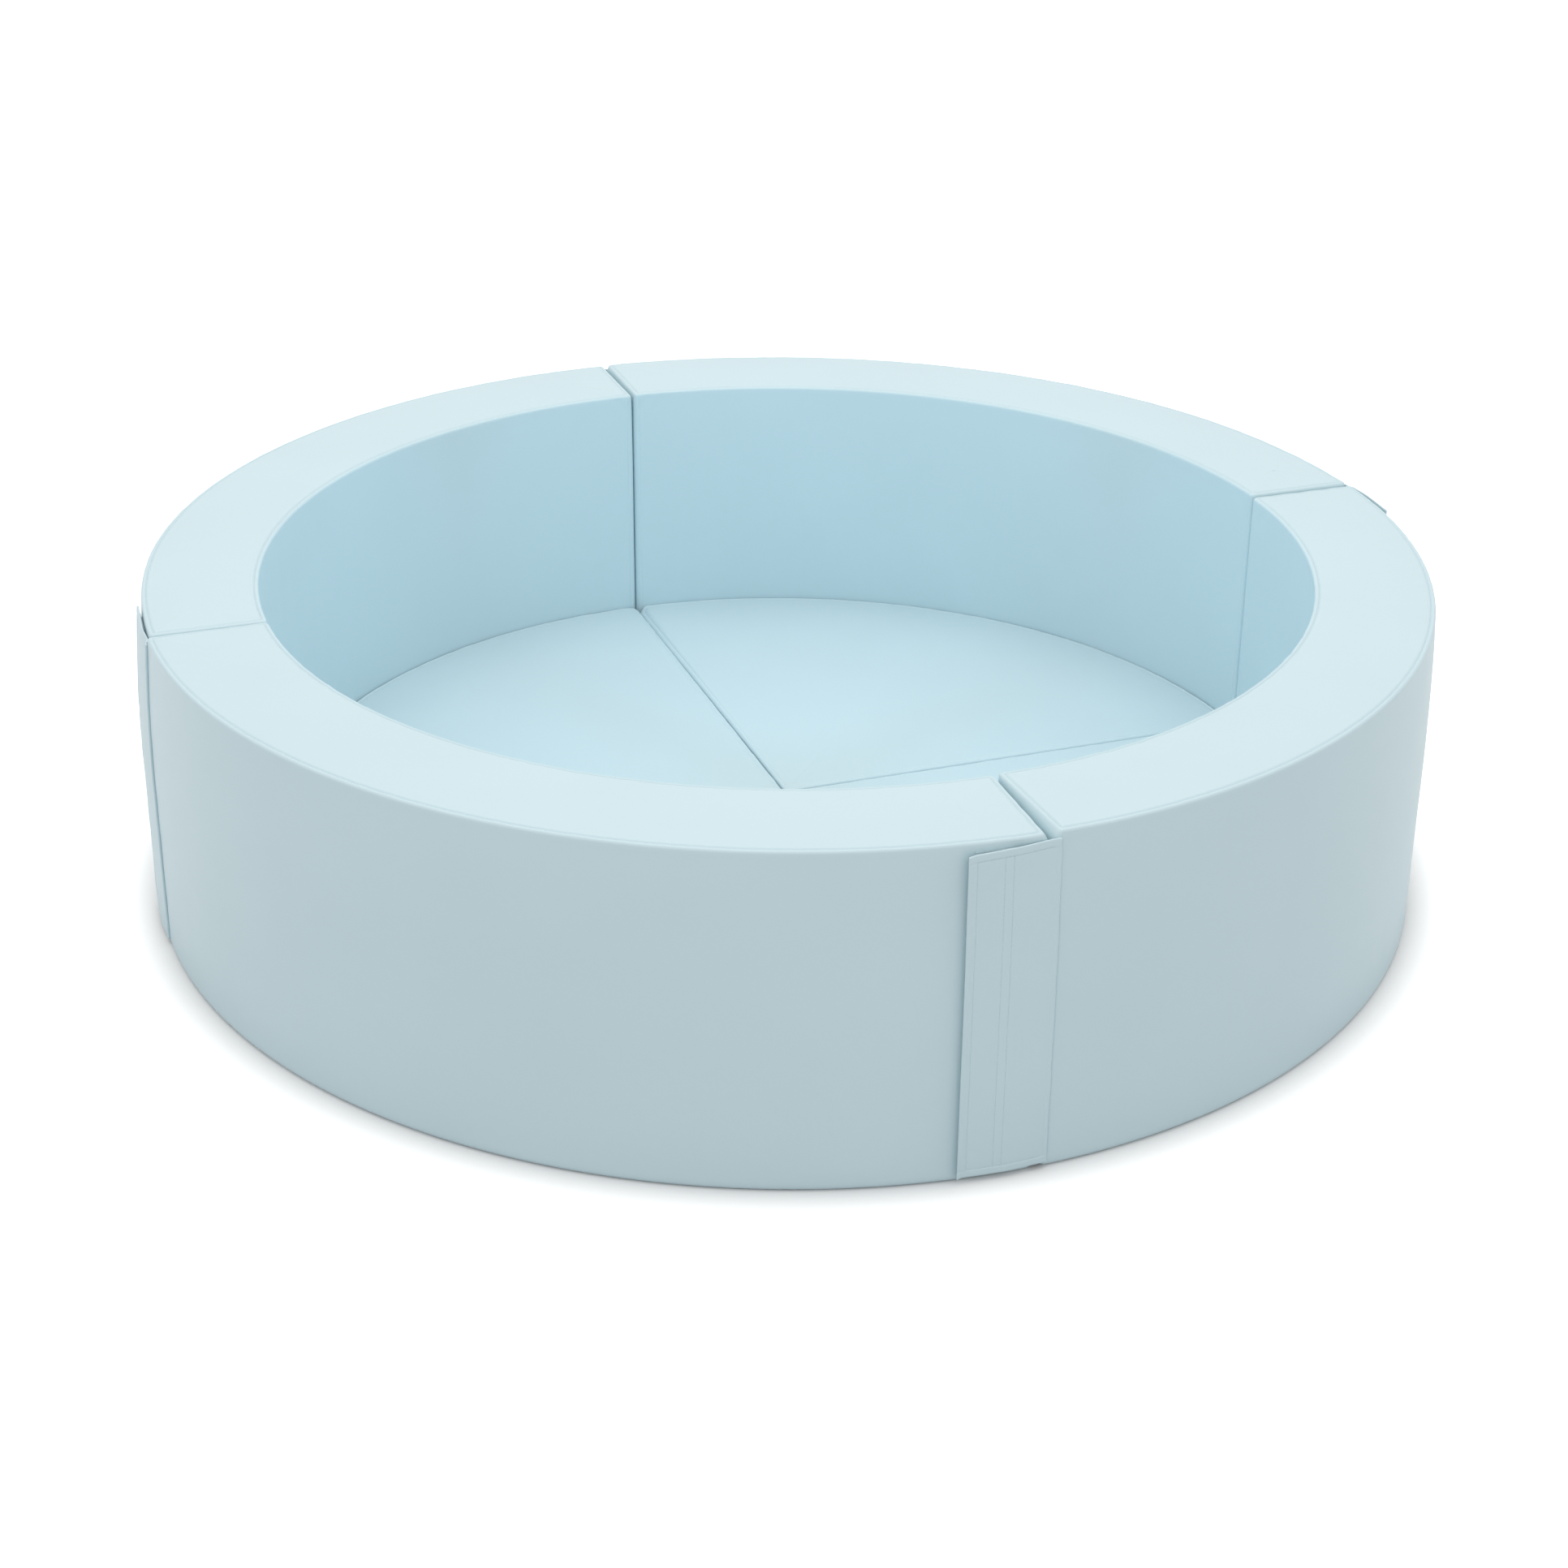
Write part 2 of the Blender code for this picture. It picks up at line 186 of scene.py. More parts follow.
def arc(radius, first, last, count):
    """Points strictly between two corners on one radius, close together near the corners."""
    turns = [np.arctan2(point[1], point[0]) for point in (first, last)]
    span = (turns[1] - turns[0] + pi) % (2 * pi) - pi
    near = np.array(NEAR_CORNER[:count // 6]) / (abs(span) * radius)
    reached = near[-1] if len(near) else 0
    rest = np.linspace(reached, 1 - reached, count - 2 * len(near) + 2)[1:-1]
    return direction(turns[0] + span * np.concatenate([near, rest, 1 - near[::-1]])) * radius


def band_loop(inner, outer, start, end, radius, counts):
    """Closed loop round a curved band, from the middle of its start face and round by its outer arc.

    Each end is a point on its face, the face's outward direction and the direction into the band.
    """
    arc_count, end_count, corner_count = counts
    outer_start = corner_to_circle(*start, outer, radius, corner_count)
    outer_end = corner_to_circle(*end, outer, radius, corner_count)[::-1]
    inner_end = corner_to_circle(*end, inner, radius, corner_count, True)
    inner_start = corner_to_circle(*start, inner, radius, corner_count, True)[::-1]
    middle_start = (outer_start[0] + inner_start[-1]) / 2
    middle_end = (outer_end[-1] + inner_end[0]) / 2
    return np.concatenate([
        middle_start[None], straight(middle_start, outer_start[0], end_count), outer_start,
        arc(outer, outer_start[-1], outer_end[0], arc_count), outer_end,
        straight(outer_end[-1], middle_end, end_count), middle_end[None],
        straight(middle_end, inner_end[0], end_count), inner_end,
        arc(inner, inner_end[-1], inner_start[0], arc_count), inner_start,
        straight(inner_start[-1], middle_start, end_count),
    ])


def wall_end(joint, side, inset):
    """A wall's end face. Side is 1 for the section that starts at the joint and -1 for the one before it."""
    along, across = direction(joint_turn(joint)), direction(joint_turn(joint) + pi / 2) * side
    at_inner, at_outer = (gap / 2 for gap in JOINT_GAPS[joint % 4])
    inner, outer = (
        along * (radius ** 2 - gap ** 2) ** 0.5 + across * gap
        for radius, gap in ((INNER_RADIUS, at_inner), (RING_RADIUS, at_outer))
    )
    outward = (outer - inner) / np.linalg.norm(outer - inner)
    inward = across - outward * (across @ outward)
    inward = inward / np.linalg.norm(inward)
    return inner + inward * inset, outward, inward


def wall_loop(section, inset, counts, radius):
    ends = wall_end(section, 1, inset), wall_end(section + 1, -1, inset)
    return band_loop(INNER_RADIUS + inset, RING_RADIUS - inset, *ends, radius, counts)


def zip_turns(section, radius, margin):
    turn = joint_turn(section) + FACET + margin / radius
    return turn, turn + pi / 2 - 2 * (FACET + margin / radius)


def zip_loop(section, zip_radius, width, margin, counts, radius=0.0004):
    """Loop of a channel, slot or tape that follows the zip."""
    first, last = zip_turns(section, zip_radius, margin)
    ends = (
        (direction(turn) * (zip_radius - width), direction(turn), direction(turn + ahead))
        for turn, ahead in ((first, pi / 2), (last, -pi / 2))
    )
    return band_loop(zip_radius - width / 2, zip_radius + width / 2, *ends, radius, counts)


def cushion_loop(section, inset, counts, corner_radius, tip_radius):
    """Closed loop round a quarter-round cushion, from its tip and round by the side at its first joint."""
    arc_count, side_count, corner_count = counts
    radius = CUSHION_RADIUS - inset
    offset = CUSHION_GAP / 2 + inset
    start_face, end_face = direction(joint_turn(section)), direction(joint_turn(section + 1))
    tip = (start_face + end_face) * offset
    at_start = corner_to_circle(tip, start_face, end_face, radius, corner_radius, corner_count)
    at_end = corner_to_circle(tip, end_face, start_face, radius, corner_radius, corner_count)[::-1]
    at_tip = corner_points(tip, end_face, start_face, tip_radius, corner_count + corner_count % 2 + 1)
    half = len(at_tip) // 2
    return np.concatenate([
        at_tip[half:], straight(at_tip[-1], at_start[0], side_count), at_start,
        arc(radius, at_start[-1], at_end[0], arc_count), at_end,
        straight(at_end[-1], at_tip[0], side_count), at_tip[:half],
    ])


def floor_zip_loop(section, zip_radius, width, margin, counts, total):
    """The zip's loop with as many points as a cushion's: its inner arc answers to the cushion's sides."""
    arc_count, side_count, corner_count = counts
    first, last = zip_turns(section, zip_radius, margin)
    inner, outer = zip_radius - width / 2, zip_radius + width / 2
    tip = corner_count + corner_count % 2 + 1
    half = tip // 2
    before, after = tip - half + side_count, side_count + half
    beyond = round(side_count * (1 - inner / CUSHION_RADIUS))
    radii = np.linspace(inner, outer, beyond + 2)[1:-1, None]
    return np.concatenate([
        direction(np.linspace((first + last) / 2, first, before - beyond)) * inner,
        direction(first) * radii,
        direction(np.linspace(first, last, total - before - after)) * outer,
        direction(last) * radii[::-1],
        direction(np.linspace(last, (first + last) / 2, after - beyond + 1)[:-1]) * inner,
    ])


def at_height(points, height):
    raised = points.copy()
    raised[..., 2] = height
    return raised


# How far a wall's outer side leans in at the top, the height above which it does, how much further it does
# near its first and its last joint, and how far along it that reaches
LEAN = 0.005
LEAN_START = 0.20
END_LEANS = ((0.002, 0.0), (0.0, 0.006), (0.002, 0.0), (0.0, -0.002))
LEAN_REACH = 0.22
# Shares go on a little past the edge, for what stands out from it
BEYOND = 1.05


def lean(section, turn, height):
    """How far the outer side leans in, where the tight cover pulls the foam's upper edge back."""
    total = LEAN
    for joint, extra in zip((section, section + 1), END_LEANS[section]):
        total = total + extra * bell(turn_from(joint, turn) * RING_RADIUS, LEAN_REACH)
    return total * np.clip((height - LEAN_START) / (WALL_HEIGHT - LEAN_START), 0, BEYOND) ** 2


def wall_share(radii, most=1):
    """Shares of a wall's thickness at which points lie, from its inner side."""
    return np.clip((radii - INNER_RADIUS) / WALL_THICKNESS, 0, most)


def leaned(points, section):
    """Points of a wall, drawn in on its outer side and less and less towards its inner side."""
    radii, turns = polar(points)
    share = wall_share(radii, BEYOND)
    moved = points.copy()
    moved[..., :2] *= (1 - lean(section, turns, points[..., 2]) * share / radii)[..., None]
    return moved


def arc_lengths(loop):
    steps = np.linalg.norm(np.roll(loop, -1, 0) - loop, axis=1)
    return np.concatenate([[0], np.cumsum(steps)[:-1]]), steps.sum()


def grid_normals(rows):
    """Outward normals of a lofted grid of loops, given as levels by points by 3."""
    along = np.roll(rows, -1, 1) - np.roll(rows, 1, 1)
    up = np.gradient(rows, axis=0)
    normals = np.cross(along, up)
    lengths = np.linalg.norm(normals, axis=-1, keepdims=True)
    return normals / np.maximum(lengths, 1e-12)


def mesh_from_rows(name, rows, caps, end_points=0):
    """Closed mesh through loops of as many points each.

    Its first and last caps are each a band, with the points of half an end, a fan, one flat plate, or a list
    of faces.
    """
    rows = np.asarray(rows)
    levels, count = rows.shape[:2]
    points = rows.reshape(-1, 3)
    index = np.arange(count)
    following = (index + 1) % count
    faces = []
    for level in range(levels - 1):
        low, high = level * count, (level + 1) * count
        faces += np.stack([low + index, low + following, high + following, high + index], 1).tolist()
    for level, turned, cap in ((0, True, caps[0]), (levels - 1, False, caps[1])):
        base = level * count
        if isinstance(cap, list):
            new = cap
        elif cap == "plate":
            new = [list(range(count))]
        elif cap == "band":
            half = count // 2
            new = [[*range(end_points + 1), *range(count - end_points, count)]]
            new += [[k, k + 1, count - k - 1, count - k] for k in range(end_points, half - end_points)]
            new.append([*range(half - end_points, half + end_points + 1)])
        else:
            centre = len(points) - base
            points = np.concatenate([points, rows[level].mean(0)[None]])
            new = [[k, (k + 1) % count, centre] for k in range(count)]
        faces += [[base + k for k in (face[::-1] if turned else face)] for face in new]
    mesh = bpy.data.meshes.new(name)
    mesh.from_pydata(points.tolist(), [], faces)
    mesh.update()
    return mesh


def sheet_cap(sides, bead=0, tip=0):
    """Faces across the end of a thin sheet: quads between its two sides, one face each across bead and tip.

    Its loop goes along the outer side to the bead, round it, back along the inner side and round the tip.
    """
    last = 2 * sides + bead - 1
    faces = [[k, k + 1, last - k - 1, last - k] for k in range(sides - 1)]
    if bead:
        faces.append(list(range(sides - 1, sides + bead + 1)))
    if tip:
        faces.append([*range(last, last + tip + 1), 0])
    return faces


def linked(name, data):
    """New object in the scene."""
    obj = bpy.data.objects.new(name, data)
    bpy.context.scene.collection.objects.link(obj)
    return obj


def place(name, mesh, material, smooth_angle=50):
    """New object of one finish, smooth except along its sharper edges."""
    mesh.materials.append(material)
    mesh.shade_smooth()
    mesh.set_sharp_from_angle(angle=radians(smooth_angle))
    return linked(name, mesh)


def mesh_made_of(source):
    """Plain mesh of what an object's modifiers make of it. The object itself goes."""
    bpy.context.view_layer.update()
    mesh = bpy.data.meshes.new_from_object(source.evaluated_get(bpy.context.evaluated_depsgraph_get()))
    bpy.data.objects.remove(source)
    return mesh


def points_of(mesh):
    points = np.empty(len(mesh.vertices) * 3, np.float32)
    mesh.vertices.foreach_get("co", points)
    return points.reshape(-1, 3).astype(float)


# Covers

def cover_rows(outline, profile, relief):
    """Loops up the outside of a cover, from its profile of (inset, height), with relief along the normals."""
    rows = np.stack([at_height(outline(inset), height) for inset, height in profile])
    insets = np.array([inset for inset, _ in profile])[:, None]
    heights = np.array([height for _, height in profile])[:, None]
    return rows + grid_normals(rows) * relief(insets, heights, rows)[..., None]


def quarter(radius, count):
    """Insets and rises round an edge, from upright to level."""
    turns = np.linspace(0, pi / 2, count)
    return radius * (1 - np.cos(turns)), radius * np.sin(turns)


def side_heights(low, high, steps=(0.004, 0.009, 0.015, 0.023, 0.034, 0.048)):
    """Heights up a side, close together near both ends."""
    near = [step for step in steps if step < (high - low) * 0.4]
    bottom, top = [low + step for step in near], [high - step for step in near[::-1]]
    count = max(1, round((top[0] - bottom[-1]) / 0.018))
    return bottom + [bottom[-1] + (top[0] - bottom[-1]) * k / count for k in range(1, count)] + top


class PaddedShape:
    """Profile of a padded block: rounded foot, upright side, rolled edge, sewn groove and crown."""

    def __init__(self, height, foot, edge, crown, reach, seam_inset, seam_depth):
        self.height, self.foot, self.edge = height, foot, edge
        self.crown, self.reach, self.seam_inset, self.seam_depth = crown, reach, seam_inset, seam_depth

    def top(self, inset):
        share = min(1, max(0, (inset - self.edge) / (self.reach - self.edge)))
        return self.height + self.crown * (1 - (1 - share) ** 2)

    def outside(self, insets):
        inward, upward = quarter(self.foot, 5)
        profile = [(self.foot - up, inset) for inset, up in zip(inward, upward)]
        high = self.height - self.edge
        profile += [(0.0, height) for height in side_heights(self.foot, high)]
        inward, upward = quarter(self.edge, 6)
        profile += [(inset, high + up) for inset, up in zip(inward, upward)]
        for inset in insets:
            groove = self.seam_depth * bell(inset - self.seam_inset, GROOVE_WIDTH)
            profile.append((inset, self.top(inset) - groove))
        return profile

    def inside(self, offset):
        """The same form, this far inside: underside, sides and crown."""
        profile = [(offset + self.foot, offset), (offset, offset + self.foot)]
        profile += [(offset, self.foot + (self.height - self.foot) * share) for share in INNER_LEVELS]
        edge_top = self.height - offset - self.seam_depth
        profile += [(offset + 0.001, edge_top - 0.004), (offset + 0.005, edge_top)]
        for share in (0.35, 1.0):
            inset = INNER_CROWN_START + (self.reach - INNER_CROWN_START) * share
            profile.append((inset, self.top(inset) - offset - INNER_CROWN_DROP))
        return profile


# Width of the sewn groove along a top's edge
GROOVE_WIDTH = 0.0011
# Hollows: shares of the height with points on the sides, and how far in and how much lower the crown starts
INNER_LEVELS = (0.3, 0.6, 0.85)
INNER_CROWN_START = 0.012
INNER_CROWN_DROP = 0.0006
WALL_SHAPE = PaddedShape(
    WALL_HEIGHT, foot=0.006, edge=0.0033, crown=0.003, reach=0.063, seam_inset=0.0055, seam_depth=0.0014,
)
CUSHION_SHAPE = PaddedShape(
    CUSHION_HEIGHT, foot=0.004, edge=0.0030, crown=0.0012, reach=0.110, seam_inset=0.0052, seam_depth=0.0008,
)
# Points across a wall's end and round its corners, and round a cushion's corners
WALL_END_POINTS = 9
WALL_CORNER_POINTS = 7
CUSHION_CORNER_POINTS = 9
# Smallest radius of a wall's upright corners, and radius of a cushion's tip
LEAST_CORNER = 0.0012
TIP_RADIUS = 0.010

# Distances from the edge at which the tops have their loops, close together at the seam
WALL_INSETS = (
    0.0036, 0.0043, 0.0049, 0.0055, 0.0061, 0.0068, 0.0078, 0.0095, 0.0125, 0.017, 0.023, 0.031, 0.041,
    0.052, 0.063,
)
CUSHION_INSETS = (
    0.0034, 0.0040, 0.0046, 0.0052, 0.0058, 0.0065, 0.0075, 0.0092, 0.012, 0.017, 0.025, 0.035, 0.048,
    0.064, 0.085, 0.11, 0.14, 0.17,
)


def corner_places(counts):
    """Indices of a wall loop's four upright corners."""
    half = 2 + 2 * counts[1] + 2 * counts[2] + counts[0] - 1
    first = 1 + counts[1] + counts[2] // 2
    return first, half - first, half + first, 2 * half - first


def fold(along, height, at, level, turn, length, width):
    """Soft crease: a dent with raised sides, about a place, at an angle."""
    u = (along - at) * cos(turn) + (height - level) * sin(turn)
    v = (height - level) * cos(turn) - (along - at) * sin(turn)
    return bell(u, length) * (bell(v + width, width) * 0.6 - bell(v, width))


# Waves in the covers, by their least and greatest length: puckers along seams, and swells of the panels
WALL_PUCKERS = (0.014, 0.050)
WALL_SWELLS = (0.14, 0.50)
FLOOR_PUCKERS = (0.016, 0.060)
FLOOR_SWELLS = (0.12, 0.40)
# Shares by which heights count in puckers, which draws them out upright
WALL_RISE = 0.35
FLOOR_RISE = 0.25

# From where to where relief sets in: swells away from seams, all of it above the foot, and upright seams
# above it and below the top's band. On a cushion, swells end towards its middle
SWELL_START = (0.0, 0.05)
WALL_FOOT = (0.002, 0.022)
FLOOR_FOOT = (0.004, 0.020)
SEAM_FOOT = (0.004, 0.012)
SEAM_TOP = (0.0, 0.006)
SWELL_END = (0.10, 0.17)
# How far down from the top the sides still count as at the top seam
WALL_BAND = 0.004
FLOOR_BAND = 0.008
# How much further from a seam a wall's corners count than they are
CORNER_CALM = 0.010


def edge_waves(ripple, swell, look, lengths, heights, insets, rise, from_edge):
    """Puckers near a seam and broad waves away from it."""
    puckers = ripple(lengths[None], heights * rise) * look.pucker_depth * fading(from_edge, look.pucker_reach)
    return puckers, swell(lengths[None], insets) * look.panel_wave * smooth_step(from_edge, *SWELL_START)


# Upright seams: how far from a corner, and how wide
SIDE_SEAM_AWAY = 0.0052
SIDE_SEAM_WIDTH = 0.0009

# Small folds under a wall's upper corners: how many at each, then the least and the most of how far they lie
# from the corner and below the top, of their angle and of their strength, and then their length and width
FOLDS = 3
FOLD_AWAY = (0.010, 0.040)
FOLD_BELOW = (0.012, 0.034)
FOLD_TURN = (0.5, 1.4)
FOLD_STRENGTH = (0.4, 1.2)
FOLD_LENGTH = 0.016
FOLD_WIDTH = 0.0045


def wall_relief(section, look, counts):
    """Soft unevenness of a wall's cover: puckers along seams, sewn upright corners, folds under corners."""
    ripple = Waves(100 + section, *WALL_PUCKERS)
    swell = Waves(200 + section, *WALL_SWELLS)
    dice = np.random.default_rng(600 + section)

    def drawn(low, high):
        return low + (high - low) * dice.random()

    def relief(insets, heights, rows):
        lengths, total = arc_lengths(rows[len(rows) // 2])
        corners = lengths[list(corner_places(counts))]
        signed = (lengths[None] - corners[:, None] + total / 2) % total - total / 2
        nearest = np.abs(signed).min(0)[None]
        side = heights < WALL_HEIGHT - 0.003
        below_band = WALL_HEIGHT - WALL_BAND - heights
        from_seam = np.abs(insets - look.seam_inset) + np.maximum(0, below_band)
        from_edge = np.minimum(from_seam, nearest + CORNER_CALM)
        above_foot = smooth_step(heights, *WALL_FOOT)
        waves, panels = edge_waves(ripple, swell, look, lengths, heights, heights, WALL_RISE, from_edge)
        seams = -look.side_seam_depth * bell(nearest - SIDE_SEAM_AWAY, SIDE_SEAM_WIDTH) * side
        seams = seams * smooth_step(heights, *SEAM_FOOT) * smooth_step(below_band, *SEAM_TOP)
        creases = np.zeros_like(rows[..., 0])
        for corner, outward in enumerate((1, -1, 1, -1)):
            for _ in range(FOLDS):
                at = outward * drawn(*FOLD_AWAY)
                level = WALL_HEIGHT - drawn(*FOLD_BELOW)
                turn = outward * drawn(*FOLD_TURN)
                depth = look.fold_depth * drawn(*FOLD_STRENGTH)
                creases += depth * fold(
                    signed[corner][None], heights, at, level, turn, FOLD_LENGTH, FOLD_WIDTH,
                )
        return (waves + panels + seams + creases * side) * above_foot

    return relief


def floor_relief(section, look):
    """Soft unevenness of a cushion's cover, strongest along its edge."""
    ripple = Waves(300 + section, *FLOOR_PUCKERS)
    swell = Waves(400 + section, *FLOOR_SWELLS)

    def relief(insets, heights, rows):
        lengths, _ = arc_lengths(rows[len(rows) // 2])
        from_edge = insets + np.maximum(0, CUSHION_HEIGHT - FLOOR_BAND - heights)
        waves, panels = edge_waves(ripple, swell, look, lengths, heights, insets, FLOOR_RISE, from_edge)
        fade = 1 - smooth_step(insets, *SWELL_END)
        return (waves + panels * fade) * smooth_step(heights, *FLOOR_FOOT)

    return relief


# How far an end's or a side's filling out and drawing back runs into the block, and down from its top edge
EDGE_REACH = 0.020
END_PULL_REACH = 0.016
SIDE_PULL_REACH = 0.014
# From where to where an end's filling out sets in: in from its inner and outer edge, as shares of the wall's
# thickness, up from its foot and down from its top. The same for a cushion's side, down from its top
END_EDGES = (0.0, 0.05)
END_FOOT = (0.0, 0.05)
END_TOP = (0.001, 0.010)
SIDE_TOP = (0.001, 0.008)
# How much of half a gap stays open
END_OPEN = 0.00035
SIDE_OPEN = 0.0003

# How much higher a wall stands at its first and at its last joint than the others do, how far along it that
# runs, and between which heights it sets in
END_RISES = ((0.0016, 0.0006), (-0.0004, 0.0), (0.0004, -0.0006), (0.0008, -0.0006))
RISE_REACH = 0.09
RISE_HEIGHTS = (0.10, 0.37)

# Ends whose covers are slack, by section and side, and how much further back their top edges lie
SLACK_ENDS = {(3, 1): 0.0032, (0, -1): 0.0012}

# Sides of cushions whose covers are slack, by section and side, and how wide and how deep their edges slump.
# Then the same of a side that isn't slack, and between which heights a slump sets in
SLACK_SIDES = {(0, -1): (0.012, 0.0065), (1, 1): (0.004, 0.0010), (0, 1): (0.005, 0.0008)}
TAUT_SIDE = (0.006, 0.0)
SLUMP_HEIGHTS = (CUSHION_HEIGHT - 0.030, CUSHION_HEIGHT - 0.005)


def gap_at(joint, radius):
    at_inner, at_outer = JOINT_GAPS[joint % 4]
    return at_inner + (at_outer - at_inner) * wall_share(radius)


def fitted_ends(points, section, look):
    """Points of a wall, its ends filled out towards their neighbours and drawn back at the top."""
    radii, turns = polar(points)
    height = points[..., 2]
    moved = points.copy()
    share = wall_share(radii)
    across = smooth_step(share, *END_EDGES) * smooth_step(1 - share, *END_EDGES)
    upright = smooth_step(height, *END_FOOT) * smooth_step(WALL_HEIGHT - height, *END_TOP)
    for joint, side in ends_of(section):
        along = turn_from(joint, turns)
        away = along * side * radii
        near = fading(away, EDGE_REACH) * (np.abs(along) < pi / 4)
        fill = np.clip(gap_at(joint, radii) / 2 - END_OPEN, 0, look.end_fill) * across * upright
        pull = look.end_pull + SLACK_ENDS.get((section, side), 0.0) * share
        back = pull * fading(WALL_HEIGHT - height, END_PULL_REACH)
        shift = (back - fill) * near * side
        ahead = np.stack([-np.sin(turns), np.cos(turns)], -1)
        moved[..., :2] += ahead * shift[..., None]
        rise = END_RISES[section][0 if side > 0 else 1]
        moved[..., 2] += rise * fading(away, RISE_REACH) * smooth_step(height, *RISE_HEIGHTS)
    return moved


def fitted_sides(points, section, look):
    """Points of a cushion, its straight sides filled out to their neighbours and drawn back at the top."""
    moved = points.copy()
    height = points[..., 2]
    share = np.clip(polar(points)[0] / CUSHION_RADIUS, 0, 1)
    upright = smooth_step(height, *FLOOR_FOOT) * smooth_step(CUSHION_HEIGHT - height, *SIDE_TOP)
    for joint, side in ends_of(section):
        inward = direction(joint_turn(joint) + side * pi / 2)
        away = np.clip(points @ inward - CUSHION_GAP / 2, 0, None)
        back = look.side_pull * fading(CUSHION_HEIGHT - height, SIDE_PULL_REACH)
        fill = (CUSHION_GAP / 2 - SIDE_OPEN) * upright
        moved += inward * ((back - fill) * fading(away, EDGE_REACH))[..., None]
        width, drop = SLACK_SIDES.get((section, side), TAUT_SIDE)
        slump = drop * share ** 1.5 * (1 - smooth_step(away, 0.0, width * share + 0.001))
        moved[..., 2] -= slump * smooth_step(height, *SLUMP_HEIGHTS)
    return moved


def channel_loops(kind, section, counts, total):
    """Loop of a channel, by its width, end margin and height, with as many points as the cover's outline."""
    def loop(width, margin, height):
        if kind == "wall":
            return at_height(zip_loop(section, WALL_ZIP_RADIUS, width, margin, counts), height)
        return at_height(floor_zip_loop(section, FLOOR_ZIP_RADIUS, width, margin, counts, total), height)
    return loop


def closed_top(rows):
    """Rows of a cushion, gone on in towards the middle of its crown."""
    middle = rows[-1].mean(0)
    closing = [middle + (rows[-1] - middle) * share for share in (0.85, 0.7, 0.55, 0.4, 0.25, 0.1)]
    return np.concatenate([rows, closing])


def block_levels(section, kind, look):
    """Loops of a wall's or a cushion's hollow cover, of its foam core, and of the cover's outside alone."""
    wall = kind == "wall"
    if wall:
        counts = (round(RING_RADIUS * pi / 2 / look.mesh_step), WALL_END_POINTS, WALL_CORNER_POINTS)
        shape, insets, relief = WALL_SHAPE, WALL_INSETS, wall_relief(section, look, counts)

        def outline(inset):
            return wall_loop(section, inset, counts, max(LEAST_CORNER, look.wall_corner - inset / 2))
    else:
        along_arc = round(CUSHION_RADIUS * pi / 2 / look.mesh_step)
        counts = (along_arc, round(CUSHION_RADIUS / look.mesh_step), CUSHION_CORNER_POINTS)
        shape, insets, relief = CUSHION_SHAPE, CUSHION_INSETS, floor_relief(section, look)

        def outline(inset):
            return cushion_loop(section, inset, counts, look.floor_corner, TIP_RADIUS)

    channel = channel_loops(kind, section, counts, len(outline(0)))
    outside = cover_rows(outline, shape.outside(insets), relief)
    skin, core = COVER_THICKNESS, COVER_THICKNESS + CLEARANCE
    lining, ceiling = CHANNEL_WIDTH + 2 * skin, CHANNEL_DEPTH + skin
    mouth = [
        channel(SLOT_WIDTH, SLOT_MARGIN, CHANNEL_DEPTH), channel(CHANNEL_WIDTH, 0, CHANNEL_DEPTH),
        channel(CHANNEL_WIDTH, 0, 0),
    ]
    lined = [channel(SLOT_WIDTH, SLOT_MARGIN, ceiling)]
    lined += [channel(lining, -skin, height) for height in (ceiling, skin)]
    lined += [at_height(outline(inset), height) for inset, height in shape.inside(skin)]
    over_tape = TAPE_LOW + TAPE_THICKNESS + CLEARANCE
    groove = TAPE_WIDTH + 2 * CLEARANCE
    cored = [channel(groove, -2 * skin, over_tape), channel(groove, -2 * skin, core)]
    cored += [at_height(outline(inset), height) for inset, height in shape.inside(core)]
    cover_levels, foam_levels = np.concatenate([np.stack(lined[::-1] + mouth), outside]), np.stack(cored)
    if wall:
        cover_levels, foam_levels = (
            fitted_ends(leaned(levels, section), section, look) for levels in (cover_levels, foam_levels)
        )
    else:
        cover_levels, foam_levels = (
            fitted_sides(levels, section, look) for levels in (closed_top(cover_levels), foam_levels)
        )
    end_points = counts[1] + counts[2] if wall else 0
    return cover_levels, foam_levels, cover_levels[len(lined) + len(mouth):], end_points


# Give of the covers under the foam's pressure, by cloth simulation

# How far from each edge the cloth is held, and from where it is free
HELD_TOP_EDGE = (0.008, 0.030)
HELD_END = (0.010, 0.045)
HELD_FOOT = (0.012, 0.050)
HELD_CUSHION_EDGE = (0.010, 0.060)
# Frames that the cloth runs, steps in which its hold fades, and points of it that a point of a cover goes by
CLOTH_FRAMES = 20
HOLD_LEVELS = 10
NEAREST = 12


def wall_freedom(points, section):
    """How free a wall's cover is at each point: held at seams and foot, at a cushion and behind a flap."""
    radii, turns = polar(points)
    height = points[:, 2]
    ahead = turn_from(section, turns)
    outer = radii > RING_RADIUS - WALL_THICKNESS / 2
    behind_flap = np.where(outer & (height < WALL_HEIGHT - 0.010), FLAP_WIDTH + 0.006, 0.0)
    beside_cushion = np.where(outer, 0.0, CUSHION_HEIGHT)
    from_side = np.minimum(radii - INNER_RADIUS, RING_RADIUS - LEAN - radii)
    free = smooth_step(np.hypot(from_side, WALL_HEIGHT - height), *HELD_TOP_EDGE)
    free *= smooth_step(ahead * RING_RADIUS, *HELD_END)
    free *= smooth_step((pi / 2 - ahead) * RING_RADIUS - behind_flap, *HELD_END)
    return free * smooth_step(height - beside_cushion, *HELD_FOOT)


